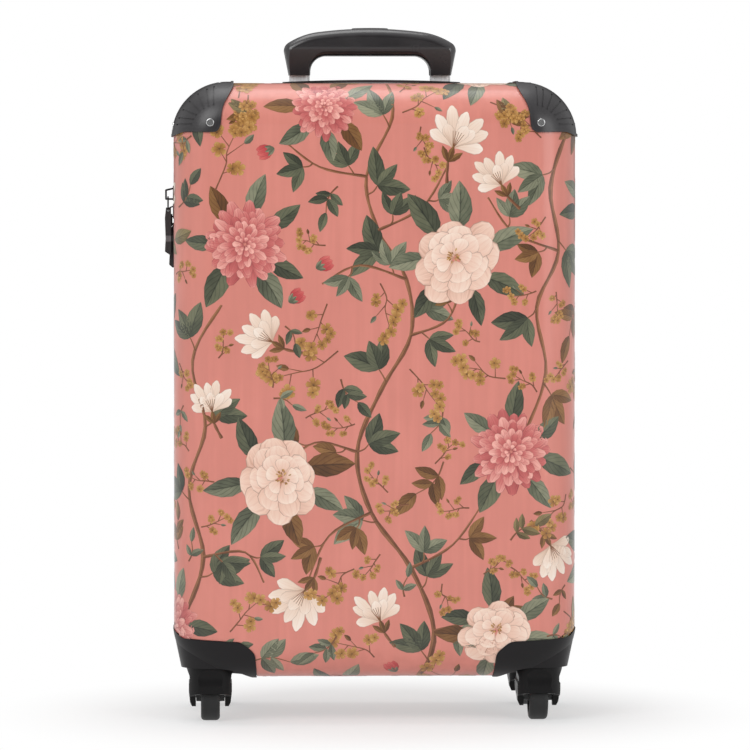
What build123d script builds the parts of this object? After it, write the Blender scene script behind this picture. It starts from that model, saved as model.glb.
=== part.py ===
"""Hard-shell cabin suitcase on four swivel casters, with a telescopic handle.

Millimetres, +Z up, the floor at Z = 0. The printed front faces -Y and the zip runs
round the middle at Y = 0. The front half opens like a book about its right-hand side.
"""
import math
import os

from build123d import *

os.makedirs("parts", exist_ok=True)

# The case body
body_w = 346.0  # across the flat sides
body_top = 551.0
body_bottom = 39.2
half_d = 97.5  # from the zip line to the flat front or back
corner_r = 46.0  # corners seen from the front
edge_r = 35.0  # rounding between the front and the sides
wall = 2.2
rim_y = 7.0  # each shell stops this far from the zip line
body_h = body_top - body_bottom
mid_z = (body_top + body_bottom) / 2
side_x = body_w / 2

# Corner guards and wheel housings lie in a seat sunk into the shell
seat_depth = 1.0
seat_gap = 0.1
guard_proud = 1.2
lip_proud = 2.1
lip_width = 2.2
outline_gap = 0.4
guard_back_y = 14.0
housing_back_y = 20.0

# Casters
caster_x = 142.0
caster_y = 62.0
wheel_r = 21.5
wheel_w = 16.4
tyre_inner_r = 15.0
trail = 10.0
fork_top = 47.6
well_z = 48.0
fork_half_w = 18.6
prong_gap = 12.6  # from the wheel's middle to the inner face of a prong
axle_r = 2.0
stem_r = 4.95
stem_top = 62.0
running_gap = 0.05

# Telescopic handle
handle_y = 76.0
tube_x = 62.4
tube_w = 18.0
tube_d = 11.5
tube_wall = 1.1
tube_gap = 0.4
grip_bottom = 559.9
grip_top = 601.2
grip_under = 576.8
grip_d = 28.0
button_w = 32.0
button_d = 15.0
button_proud = 0.7
button_gap = 0.35

# Carry handle on top
carry_y = 30.0
carry_half = 78.0
carry_w = 24.0
carry_leg_x = 64.0
carry_leg = 12.0
carry_leg_bottom = 533.0
carry_top = 555.2
carry_end_top = 553.4

# Zip
coil_gap = 0.35
coil_w = 1.95
coil_sunk = 1.2
tape_sunk = wall + 0.1
tape_t = 0.8
tape_w = 13.6
hinge_cut_z = 52.0  # the zip stops this far short of each right-hand corner's start
upper_slider_z = 456.0
lower_slider_z = 440.5
slider_h = 13.0
slider_w = 11.0


# Shared solids of the body


def half_block(grow):
    """The front half of the case as a full block, grown evenly by an amount."""
    with BuildPart() as block:
        with BuildSketch(Plane.XZ.offset(rim_y)):
            with Locations((0, mid_z)):
                RectangleRounded(body_w + 2 * grow, body_h + 2 * grow, corner_r + grow)
        extrude(amount=half_d + grow - rim_y)
        fillet(block.faces().sort_by(Axis.Y)[0].edges(), edge_r + grow)
    return block.part


def straight_block(grow, near_y, far_y):
    """A block with the case's rounded outline and square edges, between two depths."""
    with BuildPart() as block:
        with BuildSketch(Plane.XZ.offset(near_y)):
            with Locations((0, mid_z)):
                RectangleRounded(body_w + 2 * grow, body_h + 2 * grow, corner_r + grow)
        extrude(amount=far_y - near_y)
    return block.part


def prism(points, radii, near_y, far_y, grow=0.0):
    """A prism through the case's depth on an outline with rounded corners."""
    with BuildPart() as block:
        with BuildSketch(Plane.XZ.offset(near_y)) as outline:
            with BuildLine():
                Polyline(*points, close=True)
            make_face()
            for (x, z), radius in radii:
                near = outline.vertices().sort_by_distance((x, z))[0]
                fillet(near, radius)
            if grow:
                offset(amount=grow, kind=Kind.ARC)
        extrude(amount=far_y - near_y)
    return block.part


outer_block = half_block(0)
seat_block = half_block(-seat_depth)
under_guard = half_block(seat_gap - seat_depth)
guard_block = half_block(guard_proud)
lip_block = half_block(lip_proud)
groove_block = half_block(guard_proud - 0.7)

# Top corner guard, left-hand front. Its outline seen from the front narrows
# downwards along the face and flares to a lip on the side.
guard_points = [
    (-190, 570),
    (-121, 570),
    (-121.5, 549),
    (-131.2, 531),
    (-133.6, 509),
    (-164, 509.4),
    (-176, 504.6),
    (-190, 504.6),
]
guard_radii = [
    ((-121.5, 549), 10),
    ((-131.2, 531), 30),
    ((-133.6, 509), 6),
    ((-164, 509.4), 18),
]
guard_depth = 110.0
groove_count = 7
groove_centre = (-134.5, 508.0)
groove_ring_r = 24.3
groove_first_deg = 99.0
groove_last_deg = 162.0
groove_w = 1.3
groove_length = 44.0
dot_r = 1.0
screw_front = (-141.6, 517.1)
screw_top_x = -132.5
screw_side_z = 514.0
screw_depth_y = -46.0
head_r = 3.45
head_h = 1.2
shank_r = 1.6
shank_l = 4.2


def guard_region(grow=0.0):
    """The space that a guard takes: its front outline, rounded towards the zip."""
    front = prism(guard_points, guard_radii, guard_back_y - grow, guard_depth, grow)
    with BuildPart() as region:
        add(front)
        with BuildSketch(Plane.XY.offset(480)):
            with BuildLine():
                Polyline(
                    (-200, -120), (-118 + grow, -120), (-118 + grow, grow - guard_back_y),
                    (-200, grow - guard_back_y), close=True,
                )
            make_face()
            corner = (-118 + grow, grow - guard_back_y)
            fillet(vertices().sort_by_distance(corner)[0], 14)
        extrude(amount=100, mode=Mode.INTERSECT)
        with BuildSketch(Plane.YZ.offset(-200)):
            with BuildLine():
                Polyline(
                    (-120, 600), (-120, 504 - grow), (grow - guard_back_y, 504 - grow),
                    (grow - guard_back_y, 600), close=True,
                )
            make_face()
            corner = (grow - guard_back_y, 504 - grow)
            fillet(vertices().sort_by_distance(corner)[0], 14)
        extrude(amount=120, mode=Mode.INTERSECT)
    return region.part


def screw_places():
    """Where a guard's three screws sit, each as a plane that faces outwards."""
    x, z = screw_front
    front_y = -(half_d + guard_proud) + 0.1
    return [
        Plane((x, front_y, z), x_dir=(1, 0, 0), z_dir=(0, -1, 0)),
        Plane((screw_top_x, screw_depth_y, body_top + guard_proud), z_dir=(0, 0, 1)),
        Plane((-(side_x + guard_proud), screw_depth_y, screw_side_z), z_dir=(-1, 0, 0)),
    ]


with BuildPart() as groove_blades:
    for i in range(groove_count):
        share = i / (groove_count - 1)
        ring = math.radians(groove_first_deg + share * (groove_last_deg - groove_first_deg))
        ease = share * share * (3 - 2 * share)
        turn = 90 + 90 * ease
        x = groove_centre[0] + groove_ring_r * math.cos(ring)
        z = groove_centre[1] + groove_ring_r * math.sin(ring)
        along = Vector(math.cos(math.radians(turn)), 0, math.sin(math.radians(turn)))
        blade = Plane((x, -half_d + 22, z), x_dir=along, z_dir=(0, -1, 0))
        with BuildSketch(blade):
            with Locations((groove_length / 2, 0)):
                SlotOverall(groove_length + groove_w, groove_w)
            Circle(dot_r)
        extrude(amount=40)

with BuildPart() as guard_grooves:
    add(guard_block)
    add(groove_block, mode=Mode.SUBTRACT)
    add(groove_blades.part, mode=Mode.INTERSECT)

with BuildPart() as guard_cap:
    add(guard_block)
    add(under_guard, mode=Mode.SUBTRACT)
    add(guard_region(), mode=Mode.INTERSECT)
    add(guard_grooves.part, mode=Mode.SUBTRACT)
    for place in screw_places():
        with BuildSketch(place):
            Circle(head_r + 0.3)
        extrude(amount=-head_h - 0.1, mode=Mode.SUBTRACT)
        with BuildSketch(place):
            Circle(shank_r)
        extrude(amount=-shank_l, mode=Mode.SUBTRACT)

# The raised lip along the guard's edge
with BuildPart() as guard_lip:
    add(lip_block)
    add(outer_block, mode=Mode.SUBTRACT)
    add(guard_region(), mode=Mode.INTERSECT)
    add(guard_region(-lip_width), mode=Mode.SUBTRACT)

with BuildPart() as left_guard:
    add(guard_cap.part)
    add(guard_lip.part)

# Wheel housing, left-hand front: a skin over the corner, and a tapered socket round
# the swivel that stands in a dished well.
housing_points = [
    (-190, 20),
    (-190, 84),
    (-177, 84),
    (-167.5, 74.2),
    (-115.5, 71.6),
    (-103.8, 61.5),
    (-100.5, 20),
]
housing_radii = [
    ((-177, 84), 5),
    ((-167.5, 74.2), 9),
    ((-115.5, 71.6), 14),
    ((-103.8, 61.5), 10),
]
socket_low_r = 25.2
socket_high_r = 31.5
socket_high_z = 78.0
socket_top = 66.0
well_flat_r = 23.0
well_edge_r = 36.7
liner_t = 2.4
housing_floor = 38.4


def about_caster(profile, x=-caster_x, y=-caster_y):
    """A solid turned about the caster's upright axis from (radius, height) points."""
    with BuildPart() as turned:
        with BuildSketch(Plane((x, y, 0), x_dir=(1, 0, 0), z_dir=(0, -1, 0))):
            with BuildLine():
                Polyline(*profile, close=True)
            make_face()
        revolve(axis=Axis((x, y, 0), (0, 0, 1)))
    return turned.part


def well_cutter():
    """What is taken away under a housing, so that the fork can turn."""
    with BuildPart() as cutter:
        with BuildSketch(Plane((-caster_x, -caster_y, 0), x_dir=(1, 0, 0), z_dir=(0, -1, 0))):
            with BuildLine():
                flat = Line((0, well_z), (well_flat_r, well_z))
                dish = Spline(
                    flat @ 1, (28.4, 46.6), (32.6, 42.8), (well_edge_r, 38.6),
                    tangents=[(1, 0), (1, -0.8)],
                )
                Polyline(dish @ 1, (well_edge_r + 6, 34), (well_edge_r + 6, 20), (0, 20), (0, well_z))
            make_face()
        revolve(axis=Axis((-caster_x, -caster_y, 0), (0, 0, 1)))
    return cutter.part


def housing_region(grow=0.0):
    """The space that a housing's skin takes."""
    front = prism(housing_points, housing_radii, housing_back_y - grow, guard_depth, grow)
    with BuildPart() as region:
        add(front)
        with BuildSketch(Plane.XY):
            with BuildLine():
                Polyline(
                    (-200, -120), (-98 + grow, -120), (-98 + grow, grow - housing_back_y),
                    (-200, grow - housing_back_y), close=True,
                )
            make_face()
            corner = (-98 + grow, grow - housing_back_y)
            fillet(vertices().sort_by_distance(corner)[0], 16)
        extrude(amount=100, mode=Mode.INTERSECT)
        with BuildSketch(Plane.YZ.offset(-200)):
            with BuildLine():
                Polyline(
                    (-120, 0), (-120, 86 + grow), (grow - housing_back_y, 86 + grow),
                    (grow - housing_back_y, 0), close=True,
                )
            make_face()
            corner = (grow - housing_back_y, 86 + grow)
            fillet(vertices().sort_by_distance(corner)[0], 18)
        extrude(amount=120, mode=Mode.INTERSECT)
    return region.part


socket_cone = about_caster(
    [
        (0, well_z - 8),
        (socket_low_r - 1.7, well_z - 8),
        (socket_high_r, socket_high_z),
        (0, socket_high_z),
    ]
)
well = well_cutter()

with BuildPart() as well_liner:
    add(
        about_caster(
            [
                (0, well_z - 4),
                (well_flat_r + 1, well_z - 4),
                (well_edge_r - 3, 36),
                (well_edge_r + liner_t, 36),
                (well_edge_r + liner_t, 40),
                (well_flat_r + 8, socket_top - 10),
                (0, socket_top - 10),
            ]
        )
    )
    add(outer_block, mode=Mode.INTERSECT)

# What the socket keeps out of the case: nothing above its top inside the shell
with BuildPart() as above_socket:
    with BuildSketch(Plane.XY.offset(socket_top)):
        with Locations((-caster_x, -caster_y)):
            Rectangle(90, 90)
    extrude(amount=30)
    add(under_guard, mode=Mode.INTERSECT)

with BuildPart() as left_housing:
    add(guard_block)
    add(under_guard, mode=Mode.SUBTRACT)
    add(housing_region(), mode=Mode.INTERSECT)
    add(socket_cone)
    add(above_socket.part, mode=Mode.SUBTRACT)
    add(well_liner.part)
    add(well, mode=Mode.SUBTRACT)
    with BuildSketch(Plane.XY.offset(housing_floor)):
        Rectangle(500, 300)
    extrude(amount=-20, mode=Mode.SUBTRACT)
    with BuildSketch(Plane((-caster_x, -caster_y, 0))):
        Circle(stem_r + running_gap)
    extrude(amount=stem_top + 1, mode=Mode.SUBTRACT)


def write(part, name):
    """Label a finished piece and write it under its own name."""
    part.label = name
    export_step(part, f"parts/{name}.step")


def mirrored(part, *planes):
    """The same piece for another corner, mirrored across each plane in turn."""
    for plane in planes:
        with BuildPart() as other:
            mirror(part, about=plane)
        part = other.part
    return part


# The four corners, each with the planes that carry the front left one there
corners = {
    "front_left": (),
    "front_right": (Plane.YZ,),
    "rear_left": (Plane.XZ,),
    "rear_right": (Plane.YZ, Plane.XZ),
}
for corner, planes in corners.items():
    write(mirrored(left_guard.part, *planes), f"{corner}_corner_guard")
    write(mirrored(left_housing.part, *planes), f"{corner}_wheel_housing")


# Cross-head screws that hold the guards


def screw(place):
    """One screw with its head sunk level with the guard, facing out of a plane."""
    with BuildPart() as part:
        with BuildSketch(place.offset(-head_h)):
            Circle(head_r)
        extrude(amount=head_h)
        rim = part.edges().filter_by(GeomType.CIRCLE).sort_by_distance(place.origin)[0]
        fillet(rim, 0.7)
        with BuildSketch(place.offset(-head_h)):
            Circle(shank_r)
        extrude(amount=head_h - shank_l)
        with BuildSketch(place):
            for turn in (45, 135):
                SlotOverall(4.0, 0.9, rotation=turn)
        extrude(amount=-0.7, mode=Mode.SUBTRACT)
    return part.part


with BuildPart() as front_screws:
    for place in screw_places():
        add(screw(place))
    mirror(about=Plane.YZ)
write(front_screws.part, "front_guard_screws")
write(mirrored(front_screws.part, Plane.XZ), "rear_guard_screws")


# The two moulded shells
guard_seat = guard_region(outline_gap)
housing_seat = housing_region(outline_gap)

with BuildPart() as seats:
    add(outer_block)
    add(seat_block, mode=Mode.SUBTRACT)
    with BuildPart(mode=Mode.PRIVATE) as seat_places:
        add(guard_seat)
        add(housing_seat)
    add(seat_places.part, mode=Mode.INTERSECT)
    mirror(about=Plane.YZ)

# Room for a wheel socket and its well in the corner of the shell
with BuildPart() as socket_room:
    add(
        about_caster(
            [
                (0, 20),
                (well_edge_r + liner_t + 0.3, 20),
                (well_edge_r + liner_t + 0.3, 40.3),
                (socket_high_r + 0.5, socket_top - 10),
                (socket_high_r + 0.5, socket_high_z + 1),
                (0, socket_high_z + 1),
            ]
        )
    )
    mirror(about=Plane.YZ)

with BuildPart() as screw_holes:
    for place in screw_places():
        with BuildSketch(place):
            Circle(shank_r)
        extrude(amount=-shank_l - 1)
    mirror(about=Plane.YZ)

with BuildPart() as front_shell:
    add(outer_block)
    offset(amount=-wall, openings=front_shell.faces().sort_by(Axis.Y)[-1])
    add(seats.part, mode=Mode.SUBTRACT)
    add(socket_room.part, mode=Mode.SUBTRACT)
    add(screw_holes.part, mode=Mode.SUBTRACT)
write(front_shell.part, "front_shell")

outer_tube_w = tube_w + 2 * (tube_gap + tube_wall)
outer_tube_d = tube_d + 2 * (tube_gap + tube_wall)
carry_room = carry_leg + 2 * 0.3
socket_wall = 1.6
sleeve = carry_room + 2 * socket_wall
sleeve_bottom = 529.0

with BuildPart() as rear_shell:
    mirror(front_shell.part, about=Plane.XZ)
    with BuildSketch(Plane.XY.offset(body_top - 40)):
        with Locations((-tube_x, handle_y), (tube_x, handle_y)):
            RectangleRounded(outer_tube_w + 0.6, outer_tube_d + 0.6, 5)
        with Locations((-carry_leg_x, carry_y), (carry_leg_x, carry_y)):
            RectangleRounded(sleeve + 0.4, sleeve + 0.4, 2)
    extrude(amount=60, mode=Mode.SUBTRACT)
write(rear_shell.part, "rear_shell")


# Telescopic handle: two fixed outer tubes, two sliding inner tubes and the grip
tube_top = 549.0
tube_foot_z = 58.0
inner_bottom = 70.0
inner_in_grip = 12.0


def tube(width, depth, x, bottom, top):
    """An extruded aluminium tube of flattened section, standing upright."""
    with BuildPart() as part:
        with BuildSketch(Plane.XY.offset(bottom)):
            with Locations((x, handle_y)):
                RectangleRounded(width, depth, 0.36 * depth)
                RectangleRounded(
                    width - 2 * tube_wall, depth - 2 * tube_wall, 0.36 * depth - tube_wall,
                    mode=Mode.SUBTRACT,
                )
        extrude(amount=top - bottom)
    return part.part


for side, x in (("left", -tube_x), ("right", tube_x)):
    write(tube(outer_tube_w, outer_tube_d, x, tube_foot_z, tube_top), f"{side}_outer_tube")
    inner = tube(tube_w, tube_d, x, inner_bottom, grip_bottom + inner_in_grip)
    write(inner, f"{side}_inner_tube")

with BuildPart() as tube_bracket:
    with BuildSketch(Plane.XY.offset(body_bottom)):
        with Locations((0, handle_y)):
            RectangleRounded(2 * tube_x + 40, outer_tube_d + 3, 4)
    extrude(amount=tube_foot_z - body_bottom)
    with BuildPart(mode=Mode.PRIVATE) as inside:
        mirror(half_block(-wall - 0.1), about=Plane.XZ)
    add(inside.part, mode=Mode.INTERSECT)
write(tube_bracket.part, "tube_bracket")

bezel_w = 176.0
bezel_near = 60.0
bezel_far = 92.5
bezel_top = 553.0

with BuildPart() as handle_bezel:
    with BuildSketch(Plane.XY.offset(body_top - 20)):
        with Locations((0, (bezel_near + bezel_far) / 2)):
            RectangleRounded(bezel_w, bezel_far - bezel_near, 12)
    extrude(amount=bezel_top - body_top + 20)
    fillet(handle_bezel.faces().sort_by(Axis.Z)[-1].edges(), 1.4)
    with BuildPart(mode=Mode.PRIVATE) as case_top:
        mirror(outer_block, about=Plane.XZ)
    add(case_top.part, mode=Mode.SUBTRACT)
    with BuildSketch(Plane.XY.offset(tube_top + 0.2)):
        with Locations((-tube_x, handle_y), (tube_x, handle_y)):
            RectangleRounded(tube_w + 2 * tube_gap, tube_d + 2 * tube_gap, 4.4)
    extrude(amount=20, mode=Mode.SUBTRACT)
    with BuildSketch(Plane.XY.offset(tube_top + 0.2)):
        with Locations((-tube_x, handle_y), (tube_x, handle_y)):
            RectangleRounded(outer_tube_w + 0.4, outer_tube_d + 0.4, 5)
    extrude(amount=-30, mode=Mode.SUBTRACT)
write(handle_bezel.part, "handle_bezel")

# The grip: a crowned bar on two legs that taper down onto the tubes
leg_outer = 72.0
leg_inner = 53.0
shoulder = (77.0, 585.4)
crown_end = (46.0, 598.2)
crease = 7.4
seam_end_z = 585.0
leg_d = 21.0

with BuildPart() as grip:
    with BuildSketch(Plane.XZ.offset(-handle_y - grip_d / 2)) as grip_front:
        with BuildLine():
            crown = ThreePointArc((-crown_end[0], crown_end[1]), (0, grip_top), crown_end)
            slope = crown % 1
            TangentArc(crown @ 1, shoulder, tangent=slope)
            TangentArc(crown @ 0, (-shoulder[0], shoulder[1]), tangent=(-slope.X, slope.Y))
            Polyline(
                shoulder, (leg_outer, grip_bottom), (leg_inner, grip_bottom),
                (leg_inner - 0.8, grip_under), (0.8 - leg_inner, grip_under),
                (-leg_inner, grip_bottom), (-leg_outer, grip_bottom), (-shoulder[0], shoulder[1]),
            )
        make_face()
        fillet(grip_front.vertices().filter_by(lambda v: abs(v.Y - shoulder[1]) < 0.1), 8)
        fillet(grip_front.vertices().filter_by(lambda v: abs(v.Y - grip_under) < 0.1), 14)
    extrude(amount=grip_d)
    outer_edges = grip.edges().filter_by(
        lambda e: abs(abs(e.center().Y - handle_y) - grip_d / 2) < 0.1
    )
    below = outer_edges.filter_by(
        lambda e: e.center().Z < grip_under + 0.5 and abs(e.center().X) < leg_inner + 1
    )
    upper = outer_edges.filter_by(lambda e: e.center().Z > grip_under + 5 or abs(e.center().X) > 73)
    fillet(upper, 7.5)
    fillet(below, 6.5)

# Seen from the side the legs narrow towards the tubes
with BuildPart() as grip_side:
    with BuildSketch(Plane.YZ.offset(-100)) as side_profile:
        with BuildLine():
            Polyline(
                (handle_y - leg_d / 2, grip_bottom - 1),
                (handle_y - grip_d / 2, grip_bottom + 24),
                (handle_y - grip_d / 2, grip_top + 5),
                (handle_y + grip_d / 2, grip_top + 5),
                (handle_y + grip_d / 2, grip_bottom + 24),
                (handle_y + leg_d / 2, grip_bottom - 1),
                close=True,
            )
        make_face()
        lower = side_profile.vertices().filter_by(lambda v: abs(v.Y - grip_bottom - 24) < 0.1)
        fillet(lower, 20)
    extrude(amount=200)

with BuildPart() as button_pocket:
    with BuildSketch(Plane.XY.offset(grip_top - 9.5)):
        with Locations((0, handle_y)):
            RectangleRounded(button_w + 2 * button_gap, button_d + 2 * button_gap, 5)
    extrude(amount=20)

# Above this crowned surface the grip is its cover, below it the body
with BuildPart() as cover_space:
    with BuildSketch(Plane.XZ.offset(-handle_y - 30)):
        with BuildLine():
            seam = ThreePointArc((-95, seam_end_z), (0, grip_top - crease), (95, seam_end_z))
            Polyline(seam @ 1, (95, 640), (-95, 640), seam @ 0)
        make_face()
    extrude(amount=60)

with BuildPart() as whole_grip:
    add(grip.part)
    add(grip_side.part, mode=Mode.INTERSECT)
    add(button_pocket.part, mode=Mode.SUBTRACT)
    with BuildSketch(Plane.XY.offset(grip_bottom)):
        with Locations((-tube_x, handle_y), (tube_x, handle_y)):
            RectangleRounded(tube_w, tube_d, 0.36 * tube_d)
    extrude(amount=inner_in_grip, mode=Mode.SUBTRACT)

with BuildPart() as grip_cover:
    add(whole_grip.part)
    add(cover_space.part, mode=Mode.INTERSECT)
write(grip_cover.part, "grip_cover")

with BuildPart() as grip_body:
    add(whole_grip.part)
    add(cover_space.part, mode=Mode.SUBTRACT)
write(grip_body.part, "grip_body")

button_travel = 3.0
with BuildPart() as grip_button:
    with BuildSketch(Plane.XY.offset(grip_top - 9.5 + button_travel + 0.3)):
        with Locations((0, handle_y)):
            RectangleRounded(button_w, button_d, 4.6)
    extrude(amount=20)
    with BuildSketch(Plane.XZ.offset(-handle_y - 30)):
        with BuildLine():
            end_z = grip_top + button_proud - 0.3
            top = ThreePointArc(
                (-button_w / 2, end_z), (0, grip_top + button_proud), (button_w / 2, end_z)
            )
            Polyline(top @ 1, (button_w / 2, 560), (-button_w / 2, 560), top @ 0)
        make_face()
    extrude(amount=60, mode=Mode.INTERSECT)
    fillet(grip_button.faces().sort_by(Axis.Z)[-1].edges(), 0.8)
write(grip_button.part, "grip_button")


# Carry handle on top: a low arched bar with a leg in a flanged socket at each end
with BuildPart() as carry_handle:
    with BuildSketch(Plane.XZ.offset(-carry_y - carry_w / 2)):
        with BuildLine():
            arch = ThreePointArc((-carry_half, carry_end_top), (0, carry_top), (carry_half, carry_end_top))
            under = ThreePointArc((carry_half, body_top + 1.4), (0, body_top + 1.9), (-carry_half, body_top + 1.4))
            Line(arch @ 1, under @ 0)
            Line(under @ 1, arch @ 0)
        make_face()
    extrude(amount=carry_w)
    fillet(carry_handle.edges().filter_by(Axis.Z), 9)
    with BuildSketch(Plane.XY.offset(body_top + 1.6)):
        with Locations((-carry_leg_x, carry_y), (carry_leg_x, carry_y)):
            RectangleRounded(carry_leg, carry_leg, 1.5)
    extrude(amount=carry_leg_bottom - body_top - 1.6)
write(carry_handle.part, "carry_handle")

for side, x in (("left", -carry_leg_x), ("right", carry_leg_x)):
    with BuildPart() as carry_socket:
        with BuildSketch(Plane.XY.offset(body_top)):
            with Locations((x, carry_y)):
                RectangleRounded(carry_room + 15, carry_w + 4, 4)
        extrude(amount=0.9)
        with BuildSketch(Plane.XY.offset(sleeve_bottom)):
            with Locations((x, carry_y)):
                RectangleRounded(sleeve, sleeve, 2)
        extrude(amount=body_top - sleeve_bottom)
        with BuildSketch(Plane.XY.offset(sleeve_bottom + socket_wall)):
            with Locations((x, carry_y)):
                RectangleRounded(carry_room, carry_room, 1.8)
        extrude(amount=40, mode=Mode.SUBTRACT)
    write(carry_socket.part, f"{side}_carry_socket")


# Zip: tape and coil round three sides, and a cloth gusset as the hinge on the right
def zip_ring(sunk, thick, near_y, far_y):
    """A band round the case, left out along the hinge side."""
    with BuildPart() as ring:
        add(straight_block(-sunk, near_y, far_y))
        add(straight_block(-sunk - thick, near_y, far_y), mode=Mode.SUBTRACT)
        with BuildSketch(Plane.XY.offset(body_bottom + hinge_cut_z)):
            with Locations((side_x, 0)):
                Rectangle(20, 80)
        extrude(amount=body_h - 2 * hinge_cut_z, mode=Mode.SUBTRACT)
    return ring.part


coil_far = coil_gap + coil_w
front_tape = zip_ring(tape_sunk, tape_t, coil_far, coil_far + tape_w)
front_coil = zip_ring(coil_sunk, 1.9, coil_gap, coil_far)
write(front_tape, "front_zip_tape")
write(front_coil, "front_zip_coil")
write(mirrored(front_tape, Plane.XZ), "rear_zip_tape")
write(mirrored(front_coil, Plane.XZ), "rear_zip_coil")

with BuildPart() as hinge_gusset:
    with BuildSketch(Plane.XY.offset(body_bottom + hinge_cut_z + 2)):
        with Locations((side_x - tape_sunk - tape_t / 2, 5.5)):
            Rectangle(tape_t, 21)
    extrude(amount=body_h - 2 * hinge_cut_z - 4)
write(hinge_gusset.part, "hinge_gusset")


# Zip sliders and their pulls on the left-hand side
class Pull:
    """Where one slider's bridge, link and tab lie, all by depth, side and height."""

    def __init__(self, slider_z, lane, bridge, link_x, link_l, tab_in, tab_out, tab_l):
        self.z = slider_z
        self.lane = lane
        self.bridge_y = lane * 1.2
        self.bridge_out, self.bridge_wire = bridge
        self.link_x = link_x
        self.link_top = slider_z - 3.2
        self.link_l = link_l
        self.tab_in = tab_in
        self.tab_out = tab_out
        self.tab_l = tab_l


bridge_t = 1.2
wire = 1.3
link_w = 8.6
tab_w = 4.9
upper = Pull(upper_slider_z, -1, (181.0, 1.6), 178.4, 11.6, 175.8, 181.2, 42.0)
lower = Pull(lower_slider_z, 1, (177.5, 1.2), 175.3, 9.6, 173.4, 177.6, 40.0)


def slider(pull):
    """A slider: outer and inner plates, the post between the coils and the bridge."""
    with BuildPart() as part:
        for outside, thick in ((side_x - 0.8, 2.0), (side_x - 5.1, 1.4)):
            with BuildSketch(Plane.YZ.offset(-outside)) as plate:
                with Locations((0, pull.z)):
                    Rectangle(slider_w, slider_h)
                    fillet(plate.vertices(), 2.6)
            extrude(amount=-thick)
        with BuildSketch(Plane.XY.offset(pull.z - 3)):
            with Locations((-side_x + 2.45, 0)):
                Rectangle(4.5, 2 * (coil_gap - 0.15))
        extrude(amount=6)
        with BuildSketch(Plane.XZ.offset(-pull.bridge_y - bridge_t / 2)) as bridge:
            near = -side_x + 0.6  # rooted in the outer plate, so the eye is open to its face
            foot = pull.z - 4.2 - pull.bridge_wire
            with BuildLine():
                Polyline(
                    (near, pull.z + 5.4), (-pull.bridge_out, pull.z + 3.4),
                    (-pull.bridge_out, foot), (near, foot), close=True,
                )
            make_face()
            fillet(bridge.vertices().group_by(Axis.X)[0], 1.2)
            offset(amount=-pull.bridge_wire, mode=Mode.SUBTRACT)
        extrude(amount=bridge_t)
    return part.part


def link(pull):
    """The wire link that hangs in the bridge and carries the tab."""
    centre_z = pull.link_top - pull.link_l / 2
    with BuildPart() as part:
        with BuildSketch(Plane.YZ.offset(-pull.link_x - wire / 2)):
            with Locations((pull.lane * (link_w / 2 - 0.9), centre_z)):
                RectangleRounded(link_w, pull.link_l + wire, 1.9)
                RectangleRounded(link_w - 2 * wire, pull.link_l - wire, 0.35, mode=Mode.SUBTRACT)
        extrude(amount=wire)
        fillet(part.edges().filter_by(GeomType.LINE), 0.4)
    return part.part


def tab(pull):
    """The moulded pull tab, with an eye for the link and a slanted foot."""
    eye_z = pull.link_top - pull.link_l
    top = eye_z + 2.4
    bottom = top - pull.tab_l
    middle_y = pull.lane * (1.2 + tab_w / 2)
    with BuildPart() as part:
        with BuildSketch(Plane.XZ.offset(-middle_y - tab_w / 2)) as side:
            with BuildLine():
                Polyline(
                    (-pull.tab_in, top), (-pull.tab_out + 1, top), (-pull.tab_out, top - 9),
                    (-pull.tab_out + 0.6, bottom + 15), (-pull.tab_out, bottom + 3.6),
                    (-pull.tab_in, bottom), close=True,
                )
            make_face()
            fillet(side.vertices().filter_by(lambda v: abs(v.Y - bottom) < 4), 0.8)
        extrude(amount=tab_w)
        with BuildSketch(Plane.XZ.offset(20)):
            with Locations((-pull.link_x, eye_z)):
                Circle(wire / 2 + 0.25)
        extrude(amount=-40, mode=Mode.SUBTRACT)
    return part.part


for name, pull in (("upper", upper), ("lower", lower)):
    write(slider(pull), f"{name}_zip_slider")
    write(link(pull), f"{name}_pull_link")
    write(tab(pull), f"{name}_pull_tab")


# Casters: a hooded fork on a swivel stem, and a tyred wheel on its axle
prong_out = 17.2
prong_low = wheel_r - 9.2
fork_front = 18.0  # from the swivel's axis
neck_r = 17.5
crown_half = 20.4
hood_r = wheel_r + 3.0
hood_room_r = wheel_r + 1.2
plan_r = 20.6
plan_tail = trail + hood_r + 1
stem_bottom = 44.4
hub_r = 5.0
hub_half = prong_gap - 0.3
web_t = 7.0
axle_y = trail - caster_y


def from_axle(radius, degrees):
    """A point of the fork's side view, by its radius and angle about the axle."""
    turn = math.radians(degrees)
    return (axle_y + radius * math.cos(turn), wheel_r + radius * math.sin(turn))


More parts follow.
